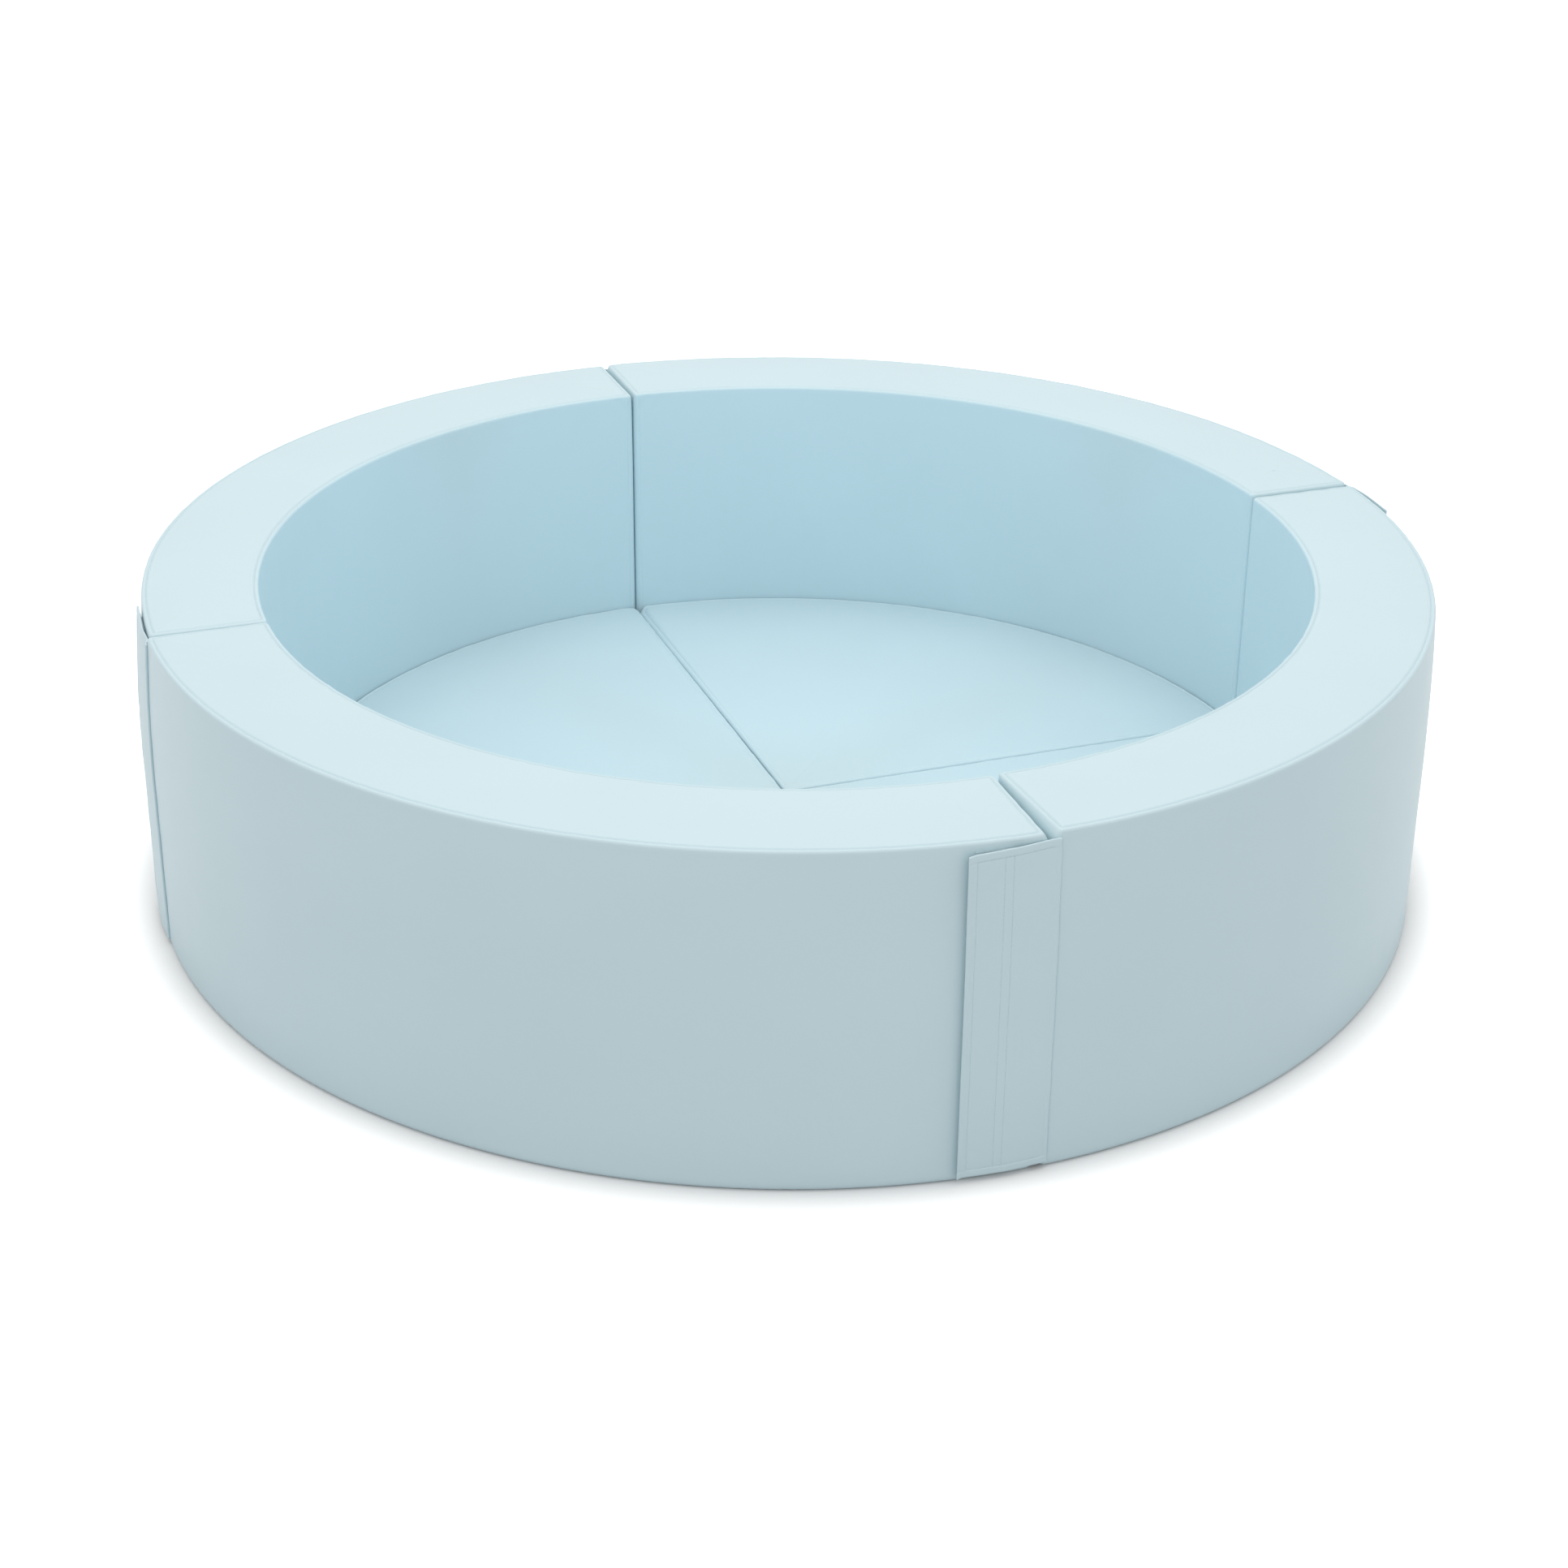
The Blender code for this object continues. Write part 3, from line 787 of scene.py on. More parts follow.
def cushion_freedom(points, section):
    """How free a cushion's cover is at each point: only on its top, and not along its edges."""
    free = smooth_step(points[:, 2], CUSHION_HEIGHT - 0.004, CUSHION_HEIGHT)
    free *= smooth_step(CUSHION_RADIUS - polar(points)[0], *HELD_CUSHION_EDGE)
    for joint, side in ends_of(section):
        free *= smooth_step(points @ direction(joint_turn(joint) + side * pi / 2), *HELD_CUSHION_EDGE)
    return free


def cloth_bag(section, kind, rows, caps, end_points, freedom, look):
    """Closed bag in a cover's form, evenly meshed, with a cloth that is held where the cover isn't free."""
    name = f"{SECTIONS[section]}_{kind}"
    source = linked(f"{name}_form", mesh_from_rows(f"{name}_form", rows, caps, end_points))
    remesh = source.modifiers.new("even", "REMESH")
    remesh.mode = "VOXEL"
    remesh.voxel_size = look.cloth_voxel
    bag = linked(f"{name}_bag", mesh_made_of(source))
    start = points_of(bag.data)
    held = np.round(HOLD_LEVELS * (1 - freedom(start, section))).astype(int)
    group = bag.vertex_groups.new(name="held")
    for level in range(1, HOLD_LEVELS + 1):
        group.add(np.flatnonzero(held == level).tolist(), level / HOLD_LEVELS, "REPLACE")
    settings = bag.modifiers.new("cloth", "CLOTH").settings
    settings.vertex_group_mass = "held"
    settings.use_pressure = True
    settings.uniform_pressure_force = look.cloth_pressure
    settings.effector_weights.gravity = 0
    settings.shrink_min = -look.cloth_slack
    return bag, start


def cloth_moves(bags, cap):
    """Runs the cloth of several bags at once and finds their points' moves, the largest scaled to the cap."""
    scene = bpy.context.scene
    for step in range(1, CLOTH_FRAMES + 1):
        scene.frame_set(step)
    graph = bpy.context.evaluated_depsgraph_get()
    fields = []
    for bag, start in bags:
        moves = points_of(bag.evaluated_get(graph).data) - start
        fields.append((start, moves * min(1, cap / np.linalg.norm(moves, axis=1).max())))
    for bag, _ in bags:
        bpy.data.objects.remove(bag)
    scene.frame_set(1)
    return fields


def moved_by(levels, field):
    """Points of a cover or its core, moved as the nearest points of its bag moved."""
    start, moves = field
    tree = KDTree(len(start))
    for index, point in enumerate(start):
        tree.insert(point, index)
    tree.balance()
    found = [tree.find_n(point, NEAREST) for point in levels.reshape(-1, 3)]
    indices = np.array([[index for _, index, _ in near] for near in found])
    distances = np.array([[distance for _, _, distance in near] for near in found])
    shares = (1 - distances / (distances[:, -1:] + 1e-9)) ** 2
    shares = shares / shares.sum(1, keepdims=True)
    return levels + (moves[indices] * shares[..., None]).sum(1).reshape(levels.shape)


# Flaps

# How far each flap's top edge hangs at its root and at its free corner
FLAP_DROOPS = ((-0.0050, -0.0050), (0.0, 0.003), (0.0, -0.007), (0.0, 0.004))

# How much of the wall's lean each flap's free edge doesn't follow, and how far that edge curls away
FLAP_SLACKS = (0.35, 0.4, 0.05, 0.55)
FLAP_CURLS = (0.0005, 0.0008, 0.0003, 0.0028)

# Along a flap: from where to where it passes from its own wall's lean to the next one's, and its waves set in
LEAN_PASSES = (0.002, 0.014)
WAVE_START = (0.010, 0.050)
# Waves in a flap, its curl and its root, by their least and greatest length, and how far the root strays
FLAP_WAVES = (0.05, 0.20)
CURL_WAVES = (0.10, 0.30)
ROOT_WAVES = (0.018, 0.070)
ROOT_WANDER = 0.0003
# How much of a wave goes where the strip holds the flap flat, and how uneven the curl is
STRIP_CALM = 0.75
CURL_UNEVEN = 0.35

# Upright seams of a flap, by their distance from the sewn edge: two along its strip and one along its hem
STRIP_SEAM = FLAP_WIDTH - HEM_WIDTH - STRIP_WIDTH
FLAP_SEAMS = (STRIP_SEAM, STRIP_SEAM + 0.009, FLAP_WIDTH - HEM_WIDTH - 0.001)
# The level seams, by their distance from the flap's ends
FLAP_END_SEAM = 0.0085
# Points round the rolled root, along an upright row of stitches, and along a level one
BEAD_POINTS = 12
UPRIGHT_POINTS = 60
LEVEL_POINTS = 30
# Where the level rows start, and the share of a thread's width by which its middle stands out of its dent
LEVEL_START = 0.009
THREAD_LIFT = 0.2


def hinge_turn(joint):
    return joint_turn(joint) + (JOINT_GAPS[joint][1] / 2 + HINGE_INSET) / RING_RADIUS


def hinge_point(joint):
    return direction(hinge_turn(joint)) * (RING_RADIUS + CLEARANCE + FLAP_THICKNESS / 2)


def flap_standoff(along, heights, joint, look):
    """How far a flap's middle stands off the wall, along its width from the sewn edge, at some heights."""
    root = CLEARANCE + FLAP_THICKNESS / 2
    over = 3 * CLEARANCE + 2 * STRIP_THICKNESS + FLAP_THICKNESS / 2
    rise = np.clip(along / STRIP_SEAM, 0, 1)
    hem = np.clip((along - FLAP_WIDTH + HEM_WIDTH) / HEM_WIDTH, 0, 1)
    free = smooth_step(along, *WAVE_START)
    calm = 1 - STRIP_CALM * (hem == 0) * (rise == 1)
    wave = Waves(500 + joint, *FLAP_WAVES)(heights, along / 2) * look.flap_wave * free * calm
    uneven = 1 + CURL_UNEVEN * np.clip(Waves(520 + joint, *CURL_WAVES)(heights), -1, 1)
    curl = FLAP_CURLS[joint] * hem ** 1.5 * uneven
    return root + (over - root) * rise ** 2 * (3 - 2 * rise) + curl + np.abs(wave)


def flap_point(joint, along, height, offset, look):
    """Point on a flap, from its distance along and its height, offset outwards from its middle."""
    turn = hinge_turn(joint) - along / RING_RADIUS
    over = smooth_step(along, *LEAN_PASSES)
    drawn = lean(joint, turn, height) * (1 - over) + lean((joint - 1) % 4, turn, height) * over
    follow = 1 - FLAP_SLACKS[joint] * smooth_step(along, WAVE_START[0], FLAP_WIDTH)
    radius = RING_RADIUS - drawn * follow + flap_standoff(along, height, joint, look) + offset
    return at_height(direction(turn) * radius[..., None], height)


def flap_drop(joint, along, height):
    at_root, at_corner = FLAP_DROOPS[joint]
    return (at_root + (at_corner - at_root) * (along / FLAP_WIDTH) ** 1.5) * (height / WALL_HEIGHT) ** 3


def on_flap(joint, along, height, offset, look):
    """Points on a flap as it hangs, from the heights that they have when it doesn't."""
    along, height, offset = np.broadcast_arrays(along, height, offset)
    return flap_point(joint, along, height - flap_drop(joint, along, height), offset, look)


def flap_places():
    """Distances along a flap at which its mesh has points, close together at the seams."""
    places = [np.linspace(0.0026, 0.010, 5)]
    reached = 0.010
    for seam in FLAP_SEAMS:
        count = max(3, round((seam - 0.003 - reached) / 0.0036) + 1)
        places.append(np.linspace(reached, seam - 0.003, count)[1:])
        places.append(seam + np.array([-0.0015, -0.0007, 0.0, 0.0007, 0.0015, 0.0030]))
        reached = seam + 0.003
    return np.concatenate([*places, np.linspace(reached, FLAP_WIDTH - 0.0008, 4)[1:]])


def flap_heights():
    """Heights at which a flap's mesh has points, close together at its ends and their seams."""
    low, high = FLAP_END, WALL_HEIGHT - FLAP_END
    near_seam = FLAP_END_SEAM + np.array([-0.0016, -0.0007, 0.0, 0.0007, 0.0016])
    ends = np.concatenate([[0.0, 0.0003, 0.0010, 0.0025, 0.0045], near_seam])
    middle = np.arange(low + 0.0125, high - 0.0125, 0.0045)
    return np.concatenate([low + ends, middle, (high - ends)[::-1]])


def flap_offsets(places, from_end, roll, look):
    """How far a flap's outer and inner side lie from its middle, with its hems and the dents of its seams."""
    hem_seam = FLAP_SEAMS[-1]
    upright = sum(bell(places - line, look.stitch_width) for line in FLAP_SEAMS)
    across = bell(from_end - FLAP_END_SEAM, look.stitch_width) * smooth_step(places, 0.004, 0.008)
    dent = look.stitch_dent * np.maximum(upright * (from_end > FLAP_END_SEAM - 0.001), across)
    in_hem = np.maximum(smooth_step(places, hem_seam, hem_seam + 0.001), 1.0 * (from_end < FLAP_END_SEAM))
    half, folded, edge = FLAP_THICKNESS / 2, look.hem_fold * in_hem, 0.0001 * (1 - roll)
    return (half + folded - dent) * roll + edge, (half + folded * 0.5) * roll + edge


def flap_bead(joint, height, wander, roll, look):
    """Points round the rolled root of a flap."""
    outward, ahead = direction(hinge_turn(joint)), direction(hinge_turn(joint) + pi / 2)
    turns = np.linspace(-0.62, pi + 0.62, BEAD_POINTS)[:, None]
    middle = hinge_point(joint) - outward * lean(joint, hinge_turn(joint), height) + ahead * wander
    reach = look.bead_radius * (0.35 + 0.65 * roll)
    bead = middle + (outward * np.cos(turns) + ahead * np.sin(turns)) * reach
    return at_height(bead, height - flap_drop(joint, 0.0, height))


def joining_flap(joint, look, material):
    """Flap with its rolled root, hems on three sides and dents along its seams, as one closed mesh."""
    places = flap_places()
    tip_places = FLAP_WIDTH - np.array([0.0002, 0.0, 0.0002])
    wander = Waves(540 + joint, *ROOT_WAVES)
    rows = []
    for height in flap_heights():
        from_end = min(height - FLAP_END, WALL_HEIGHT - FLAP_END - height)
        roll = np.sqrt(max(0.0, 1 - max(0.0, 1 - from_end / 0.0010) ** 2))
        outer, inner = flap_offsets(places, from_end, roll, look)
        tip_offsets = np.array([outer[-1] * 0.7, 0.0, -inner[-1] * 0.7])
        tip = flap_point(joint, tip_places, np.full(3, height), tip_offsets, look)
        tip[:, 2] -= flap_drop(joint, FLAP_WIDTH, height)
        rows.append(np.concatenate([
            on_flap(joint, places, height, outer, look)[::-1],
            flap_bead(joint, height, wander(height) * ROOT_WANDER, roll, look),
            on_flap(joint, places, height, -inner, look), tip[::-1],
        ]))
    name = f"{SECTIONS[joint]}_flap_vinyl"
    cap = sheet_cap(len(places), BEAD_POINTS, len(tip_places))
    return place(name, mesh_from_rows(name, rows, (cap, cap)), material, 60)


def strip_grid():
    """Places and heights of a strip's points, with closer ones along its edges."""
    edge, margin = 0.0006, 0.003
    low, high = FLAP_END + STRIP_MARGIN, WALL_HEIGHT - FLAP_END - STRIP_MARGIN
    start, end = STRIP_SEAM, STRIP_SEAM + STRIP_WIDTH
    up = np.arange(low + 0.004, high - margin, 0.005)
    along = np.linspace(start + margin, end - margin, 9)
    heights = np.concatenate([[low, low + edge], up, [high - edge, high]])
    return np.meshgrid(np.concatenate([[start, start + edge], along, [end - edge, end]]), heights)


def strip(name, outer, inner, material):
    """Closed strip between two grids of points, whose places run against the ring's direction."""
    cap = sheet_cap(outer.shape[1])
    rows = np.concatenate([outer[:, ::-1], inner], 1)
    return place(name, mesh_from_rows(name, rows, (cap, cap)), material, 40)


def hook_strip(joint, look, material):
    """Hook strip on the inside of a flap, behind its hem."""
    along, height = strip_grid()
    under = -FLAP_THICKNESS / 2 - CLEARANCE
    sides = [on_flap(joint, along, height, under - depth, look) for depth in (0.0, STRIP_THICKNESS)]
    return strip(f"{SECTIONS[joint]}_hook_pile", *sides, material)


def loop_strip(joint, look, material):
    """Loop strip sewn to the wall that a flap grips."""
    along, height = strip_grid()
    turn = hinge_turn(joint) - along / RING_RADIUS
    radius = RING_RADIUS - lean((joint - 1) % 4, turn, height) + CLEARANCE
    sides = [
        at_height(direction(turn) * (radius + depth)[..., None], height) for depth in (STRIP_THICKNESS, 0.0)
    ]
    return strip(f"{SECTIONS[joint - 1]}_loop_pile", *sides, material)


# Materials

class Net:
    """Short way to fill a node tree: each socket is given a value or another socket."""

    def __init__(self, tree):
        self.tree = tree

    def give(self, node, sockets):
        for socket, value in sockets.items():
            if isinstance(value, bpy.types.NodeSocket):
                self.tree.links.new(value, node.inputs[socket])
            else:
                node.inputs[socket].default_value = value
        return node

    def add(self, kind, sockets=(), **settings):
        node = self.tree.nodes.new(kind)
        for name, value in settings.items():
            setattr(node, name, value)
        return self.give(node, dict(sockets))

    def noise(self, where, scale, detail=3.0, roughness=0.5):
        sockets = {"Vector": where, "Scale": scale, "Detail": detail, "Roughness": roughness}
        return self.add("ShaderNodeTexNoise", sockets).outputs["Fac"]

    def colour_between(self, factor, low, high):
        sockets = {0: factor, 6: (*low, 1), 7: (*high, 1)}
        return self.add("ShaderNodeMix", sockets, data_type="RGBA").outputs[2]

    def number_between(self, factor, low, high):
        return self.add("ShaderNodeMix", {0: factor, 2: low, 3: high}).outputs[0]

    def bump(self, height, strength, distance):
        sockets = {"Height": height, "Strength": strength, "Distance": distance}
        return self.add("ShaderNodeBump", sockets).outputs["Normal"]

    def seen_or_not(self, seen, unseen):
        """One shader for what the camera and mirrors see, and another for the light it gives."""
        path = self.add("ShaderNodeLightPath").outputs
        rays = {0: path["Is Camera Ray"], 1: path["Is Glossy Ray"]}
        either = self.add("ShaderNodeMath", rays, operation="MAXIMUM").outputs[0]
        return self.add("ShaderNodeMixShader", {0: either, 1: unseen, 2: seen}).outputs[0]


def new_material(name):
    """Material, the net of its nodes, its shader, and the place by which its patterns lie."""
    material = bpy.data.materials.new(name)
    material.use_nodes = True
    net = Net(material.node_tree)
    where = net.add("ShaderNodeTexCoord").outputs["Object"]
    return material, net, material.node_tree.nodes["Principled BSDF"], where


def shades(colour, *shares):
    """One colour, darker or paler by each share."""
    return [tuple(min(1, channel * share) for channel in colour) for share in shares]


def vinyl_material(look):
    """Soft coated vinyl: pressed leather grain, faint clouding in colour and gloss."""
    material, net, shader, where = new_material("powder_blue_vinyl")
    bend = net.add("ShaderNodeTexNoise", {"Vector": where, "Scale": 220.0, "Detail": 2.0}).outputs["Color"]
    shift = (look.grain_size * 0.6,) * 3
    bent = {0: bend, 1: shift, 2: where}
    warped = net.add("ShaderNodeVectorMath", bent, operation="MULTIPLY_ADD").outputs[0]
    pebbles = {"Vector": warped, "Scale": 1 / look.grain_size, "Smoothness": 0.6}
    grain = net.add("ShaderNodeTexVoronoi", pebbles, feature="SMOOTH_F1").outputs["Distance"]
    low, high = look.vinyl_roughness - 0.05, look.vinyl_roughness + 0.05
    net.give(shader, {
        "Base Color": net.colour_between(net.noise(where, 5.0, 4.0), *shades(look.vinyl_colour, 0.965, 1.02)),
        "Roughness": net.number_between(net.noise(where, 40.0, 5.0), low, high),
        "Normal": net.bump(grain, 0.5, look.grain_depth),
        "Specular IOR Level": look.vinyl_gloss,
    })
    return material


def woven_material(name, colour, pitch, depth, roughness):
    """Close weave: two crossing sets of threads with slight clouding."""
    material, net, shader, where = new_material(name)
    threads = {
        socket: net.add(
            "ShaderNodeTexWave", {"Vector": where, "Scale": 1 / pitch / 3.18, "Distortion": 0.4},
            bands_direction=axis,
        ).outputs["Fac"]
        for socket, axis in enumerate("XY")
    }
    weave = net.add("ShaderNodeMath", threads, operation="MULTIPLY").outputs[0]
    net.give(shader, {
        "Base Color": net.colour_between(net.noise(where, 300.0), *shades(colour, 0.86, 1)),
        "Roughness": roughness,
        "Normal": net.bump(weave, 0.6, depth),
    })
    return material


def pile_material(name, colour, size, depth):
    """Felted pile of a hook or loop strip, darker where it is low: painted shade between the tufts."""
    material, net, shader, where = new_material(name)
    tufts_with_painted_shade = net.noise(where, 1 / size, 4.0, 0.7)
    # Colour follows the tufts' height: painted shade in the hollows between them
    net.give(shader, {
        "Base Color": net.colour_between(tufts_with_painted_shade, *shades(colour, 0.75, 1)),
        "Roughness": 0.95,
        "Normal": net.bump(tufts_with_painted_shade, 0.8, depth),
        "Sheen Weight": 0.3,
    })
    return material


def foam_material():
    """Open-cell foam: small pores in cream, darkened with painted shade."""
    material, net, shader, where = new_material("cream_foam")
    pores_with_painted_shade = net.add("ShaderNodeTexVoronoi", {"Vector": where, "Scale": 650}).outputs["Distance"]
    # The pores' dark colour is painted shade in them; the same field also dents them by bump
    net.give(shader, {
        "Base Color": net.colour_between(pores_with_painted_shade, (0.62, 0.55, 0.40), (0.88, 0.84, 0.70)),
        "Roughness": 0.95,
        "Normal": net.bump(pores_with_painted_shade, 1.0, 0.0006),
    })
    return material


def nickel_material():
    """Plated zip slider, with fine handling marks."""
    material, net, shader, where = new_material("bright_nickel")
    marks = net.noise(where, 900.0, 6.0, 0.7)
    net.give(shader, {
        "Base Color": net.colour_between(marks, (0.56, 0.55, 0.53), (0.70, 0.69, 0.67)),
        "Roughness": net.number_between(marks, 0.18, 0.36),
        "Metallic": 1.0,
    })
    return material


# Repeated pieces along a path

def repeat_tree(name):
    """Node tree that sets small rounded pieces along the edges of a mesh, end to end."""
    tree = bpy.data.node_groups.new(name, "GeometryNodeTree")
    sockets = tree.interface
    sockets.new_socket("Geometry", in_out="INPUT", socket_type="NodeSocketGeometry")
    for label, value in (("Spacing", 0.003), ("Length", 0.002), ("Width", 0.0006), ("Height", 0.0006)):
        socket = sockets.new_socket(label, in_out="INPUT", socket_type="NodeSocketFloat")
        socket.subtype = "DISTANCE"
        socket.default_value = value
    sockets.new_socket("Material", in_out="INPUT", socket_type="NodeSocketMaterial")
    sockets.new_socket("Geometry", in_out="OUTPUT", socket_type="NodeSocketGeometry")
    net = Net(tree)
    given = net.add("NodeGroupInput").outputs
    curve = net.add("GeometryNodeMeshToCurve", {"Mesh": given["Geometry"]}).outputs[0]
    spaced = net.add(
        "GeometryNodeResampleCurve", {"Curve": curve, "Length": given["Spacing"]}, mode="LENGTH",
    ).outputs[0]
    bead = net.add("GeometryNodeMeshUVSphere", {"Segments": 6, "Rings": 4, "Radius": 0.5}).outputs["Mesh"]
    tangent = net.add("GeometryNodeInputTangent").outputs[0]
    turned = net.add("FunctionNodeAlignRotationToVector", {"Vector": tangent}, axis="X").outputs[0]
    size = net.add("ShaderNodeCombineXYZ", {"X": given["Length"], "Y": given["Width"], "Z": given["Height"]})
    stamped = net.add("GeometryNodeInstanceOnPoints", {
        "Points": spaced, "Instance": bead, "Rotation": turned, "Scale": size.outputs[0],
    }).outputs[0]
    real = net.add("GeometryNodeRealizeInstances", {"Geometry": stamped}).outputs[0]
    painted = net.add("GeometryNodeSetMaterial", {"Geometry": real, "Material": given["Material"]}).outputs[0]
    net.add("NodeGroupOutput", {"Geometry": painted})
    return tree


def repeated(name, paths, tree, material, **sizes):
    """Plain mesh of what the tree makes along paths, each a list of points."""
    mesh = bpy.data.meshes.new(f"{name}_paths")
    points, edges = [], []
    for path in paths:
        edges += [(len(points) + k, len(points) + k + 1) for k in range(len(path) - 1)]
        points += [tuple(map(float, point)) for point in path]
    mesh.from_pydata(points, edges, [])
    source = linked(f"{name}_source", mesh)
    modifier = source.modifiers.new("repeat", "NODES")
    modifier.node_group = tree
    sockets = {item.name: item.identifier for item in tree.interface.items_tree if item.in_out == "INPUT"}
    for label, value in sizes.items():
        modifier[sockets[label.capitalize()]] = value
    modifier[sockets["Material"]] = material
    result = mesh_made_of(source)
    result.name = name
    result.shade_smooth()
    return linked(name, result)


# Settings

def number(label, about, value):
    return FloatProperty(name=label, description=about, default=value)


def length(label, about, value):
    return FloatProperty(name=label, description=about, default=value, unit="LENGTH")


def angle(label, about, degrees):
    return FloatProperty(name=label, description=about, default=radians(degrees), subtype="ANGLE")


class PitCoverSettings(bpy.types.PropertyGroup):
    vinyl_colour: FloatVectorProperty(name="Vinyl", subtype="COLOR", size=3, default=(0.56, 0.71, 0.76))
    vinyl_roughness: number("Roughness", "Roughness of the coating", 0.46)
    vinyl_gloss: number("Gloss", "Strength of the coating's shine", 0.5)
    grain_size: length("Grain", "Size of a pebble of the pressed grain", 0.0011)
    grain_depth: length("Grain depth", "Depth of the pressed grain", 0.00006)
    seam_inset: length("Seam inset", "Top seam's distance from the edge", 0.0055)
    pucker_depth: length("Pucker", "Height of the puckers along the seams", 0.00022)
    pucker_reach: length("Pucker reach", "How far puckers run from a seam", 0.014)
    panel_wave: length("Panel wave", "Unevenness of the panels", 0.00030)
    side_seam_depth: length("Side seam", "Depth of the upright seams", 0.0006)
    fold_depth: length("Folds", "Depth of the small folds under the corners", 0.0007)
    end_fill: length("End fill", "How far an end face fills out", 0.0047)
    end_pull: length("End pull", "How far the seam draws an end's top edge back", 0.0011)
    side_pull: length("Side pull", "How far a cushion's top edges lie back", 0.0008)
    wall_corner: length("Corner", "Radius of a wall's upright corners", 0.005)
    floor_corner: length("Floor corner", "Radius of a cushion's outer corners", 0.013)
    cloth_voxel: length("Cloth mesh", "Mesh size of the simulated cloth", 0.010)
    cloth_pressure: number("Pressure", "Pressure of the foam on the simulated cloth", 4.0)
    cloth_slack: number("Slack", "Share by which the cloth is larger than its foam", 0.0015)
    wall_give: length("Wall give", "Most that a wall's cloth may move", 0.0008)
    floor_give: length("Floor give", "Most that a cushion's cloth may move", 0.0012)
    mesh_step: length("Mesh step", "Spacing of the mesh along the covers", 0.006)


class PitFlapSettings(bpy.types.PropertyGroup):
    bead_radius: length("Root bead", "Radius of the rolled root of a flap", 0.0016)
    flap_wave: length("Wave", "Unevenness of the flap", 0.0003)
    hem_fold: length("Hem", "How much the folded hem stands out", 0.00035)
    stitch_dent: length("Stitch dent", "Depth of the dent along a stitched line", 0.0003)
    stitch_spacing: length("Stitch spacing", "Distance from stitch to stitch", 0.0036)
    stitch_length: length("Stitch length", "Length of thread that shows", 0.0027)
    stitch_width: length("Thread", "Thickness of the thread", 0.0006)


class PitZipSettings(bpy.types.PropertyGroup):
    tooth_spacing: length("Tooth spacing", "Distance from tooth to tooth", 0.0024)
    tooth_length: length("Tooth", "A tooth's size along the zip", 0.0016)
    tooth_width: length("Tooth width", "A tooth's size across the zip", 0.0036)
    tooth_height: length("Tooth height", "A tooth's thickness", 0.0023)
    row_offset: length("Row offset", "Distance of each row of teeth from the middle", 0.0012)


class PitStageSettings(bpy.types.PropertyGroup):
    lens: number("Lens", "Focal length on a 36 mm frame, in millimetres", 66.415)
    pitch: angle("Pitch", "How far the camera looks down", 26.395)
    roll: angle("Roll", "How far the camera leans", 0.517)
    distance: length("Distance", "From the camera to the point it looks at", 3.5174)
    look_at: FloatVectorProperty(name="Look at", unit="LENGTH", default=(-0.0010, 0, 0.0813))
    sky: number("Sky", "Strength of the even light all round", 0.878)
    overhead: number("Overhead", "Power of the large soft light overhead, in watts", 30.7)
    from_left: number("From left", "Power of the soft light at the left, in watts", 2.9)
    from_front: number("From front", "Power of the soft light in front, in watts", 12.7)
    inside: number("Inside", "Power of each cool fill light on the inner walls", 0.24)
    # The floor's glow rises from the near to the far value over the reach below: painted shade in a band
    # round the ring
    near_glow: number("Near backdrop", "Glow of the floor that shows, at the object", 0.0)
    far_glow: number("Far backdrop", "Glow of the floor that shows, beyond the shadow", 0.46)
    painted_shade_reach: length("Shadow reach", "How far the shadow shows", 0.045)


# Operators

def vinyl():
    return bpy.data.materials.get("powder_blue_vinyl") or vinyl_material(bpy.context.scene.pit_covers)


def cream_foam():
    return bpy.data.materials.get("cream_foam") or foam_material()


def padded_blocks(look, kind, body, freedom, cap):
    """Makes the covers and cores of one kind of block for all four sections, with their cloth's give."""
    core_caps = ("band", "band") if kind == "wall" else ("plate", "fan")
    cover_caps = ("band", "band") if kind == "wall" else ("fan", "fan")
    blocks = [block_levels(section, kind, look) for section in range(4)]
    fields = [None] * 4
    bags = [
        cloth_bag(section, kind, outside, core_caps, end_points, freedom, look)
        for section, (_, _, outside, end_points) in enumerate(blocks)
    ]
    fields = cloth_moves(bags, cap)
    for name, (cover, core, _, end_points), field in zip(SECTIONS, blocks, fields):
        for levels, node, label, slot, material, caps in (
            (cover, "cover", "vinyl_cover", "vinyl", vinyl(), cover_caps),
            (core, "foam", "foam_core", "foam", cream_foam(), core_caps),
        ):
            given = levels if field is None else moved_by(levels, field)
            mesh = mesh_from_rows(f"{name}_{kind}_{label}", given, caps, end_points)
            piece = place(f"{name}_{kind}_{label}", mesh, material)
            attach(piece, f"{name}_{body}")
            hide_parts(f"{name}_{kind}_{node}")


class PIT_OT_wall_sections(bpy.types.Operator):
    """Makes the padded vinyl covers and the foam cores of the four wall sections"""
    bl_idname = "pit.wall_sections"
    bl_label = "Wall Sections"

    def execute(self, context):
        look = context.scene.pit_covers
        padded_blocks(look, "wall", "wall_section", wall_freedom, look.wall_give)
        return {"FINISHED"}


class PIT_OT_floor_cushions(bpy.types.Operator):
    """Makes the padded vinyl covers and the foam cores of the four floor cushions"""
    bl_idname = "pit.floor_cushions"
    bl_label = "Floor Cushions"

    def execute(self, context):
        look = context.scene.pit_covers
        padded_blocks(look, "floor", "floor_cushion", cushion_freedom, look.floor_give)
        return {"FINISHED"}


class PIT_OT_joining_flaps(bpy.types.Operator):
    """Makes the four flaps that join the wall sections"""
    bl_idname = "pit.joining_flaps"
    bl_label = "Joining Flaps"

    def execute(self, context):
        look = context.scene.pit_flaps
        for joint, name in enumerate(SECTIONS):
            flap = joining_flap(joint, look, vinyl())
            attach(flap, f"{name}_joining_flap")
            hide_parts(f"{name}_joining_flap")
        return {"FINISHED"}


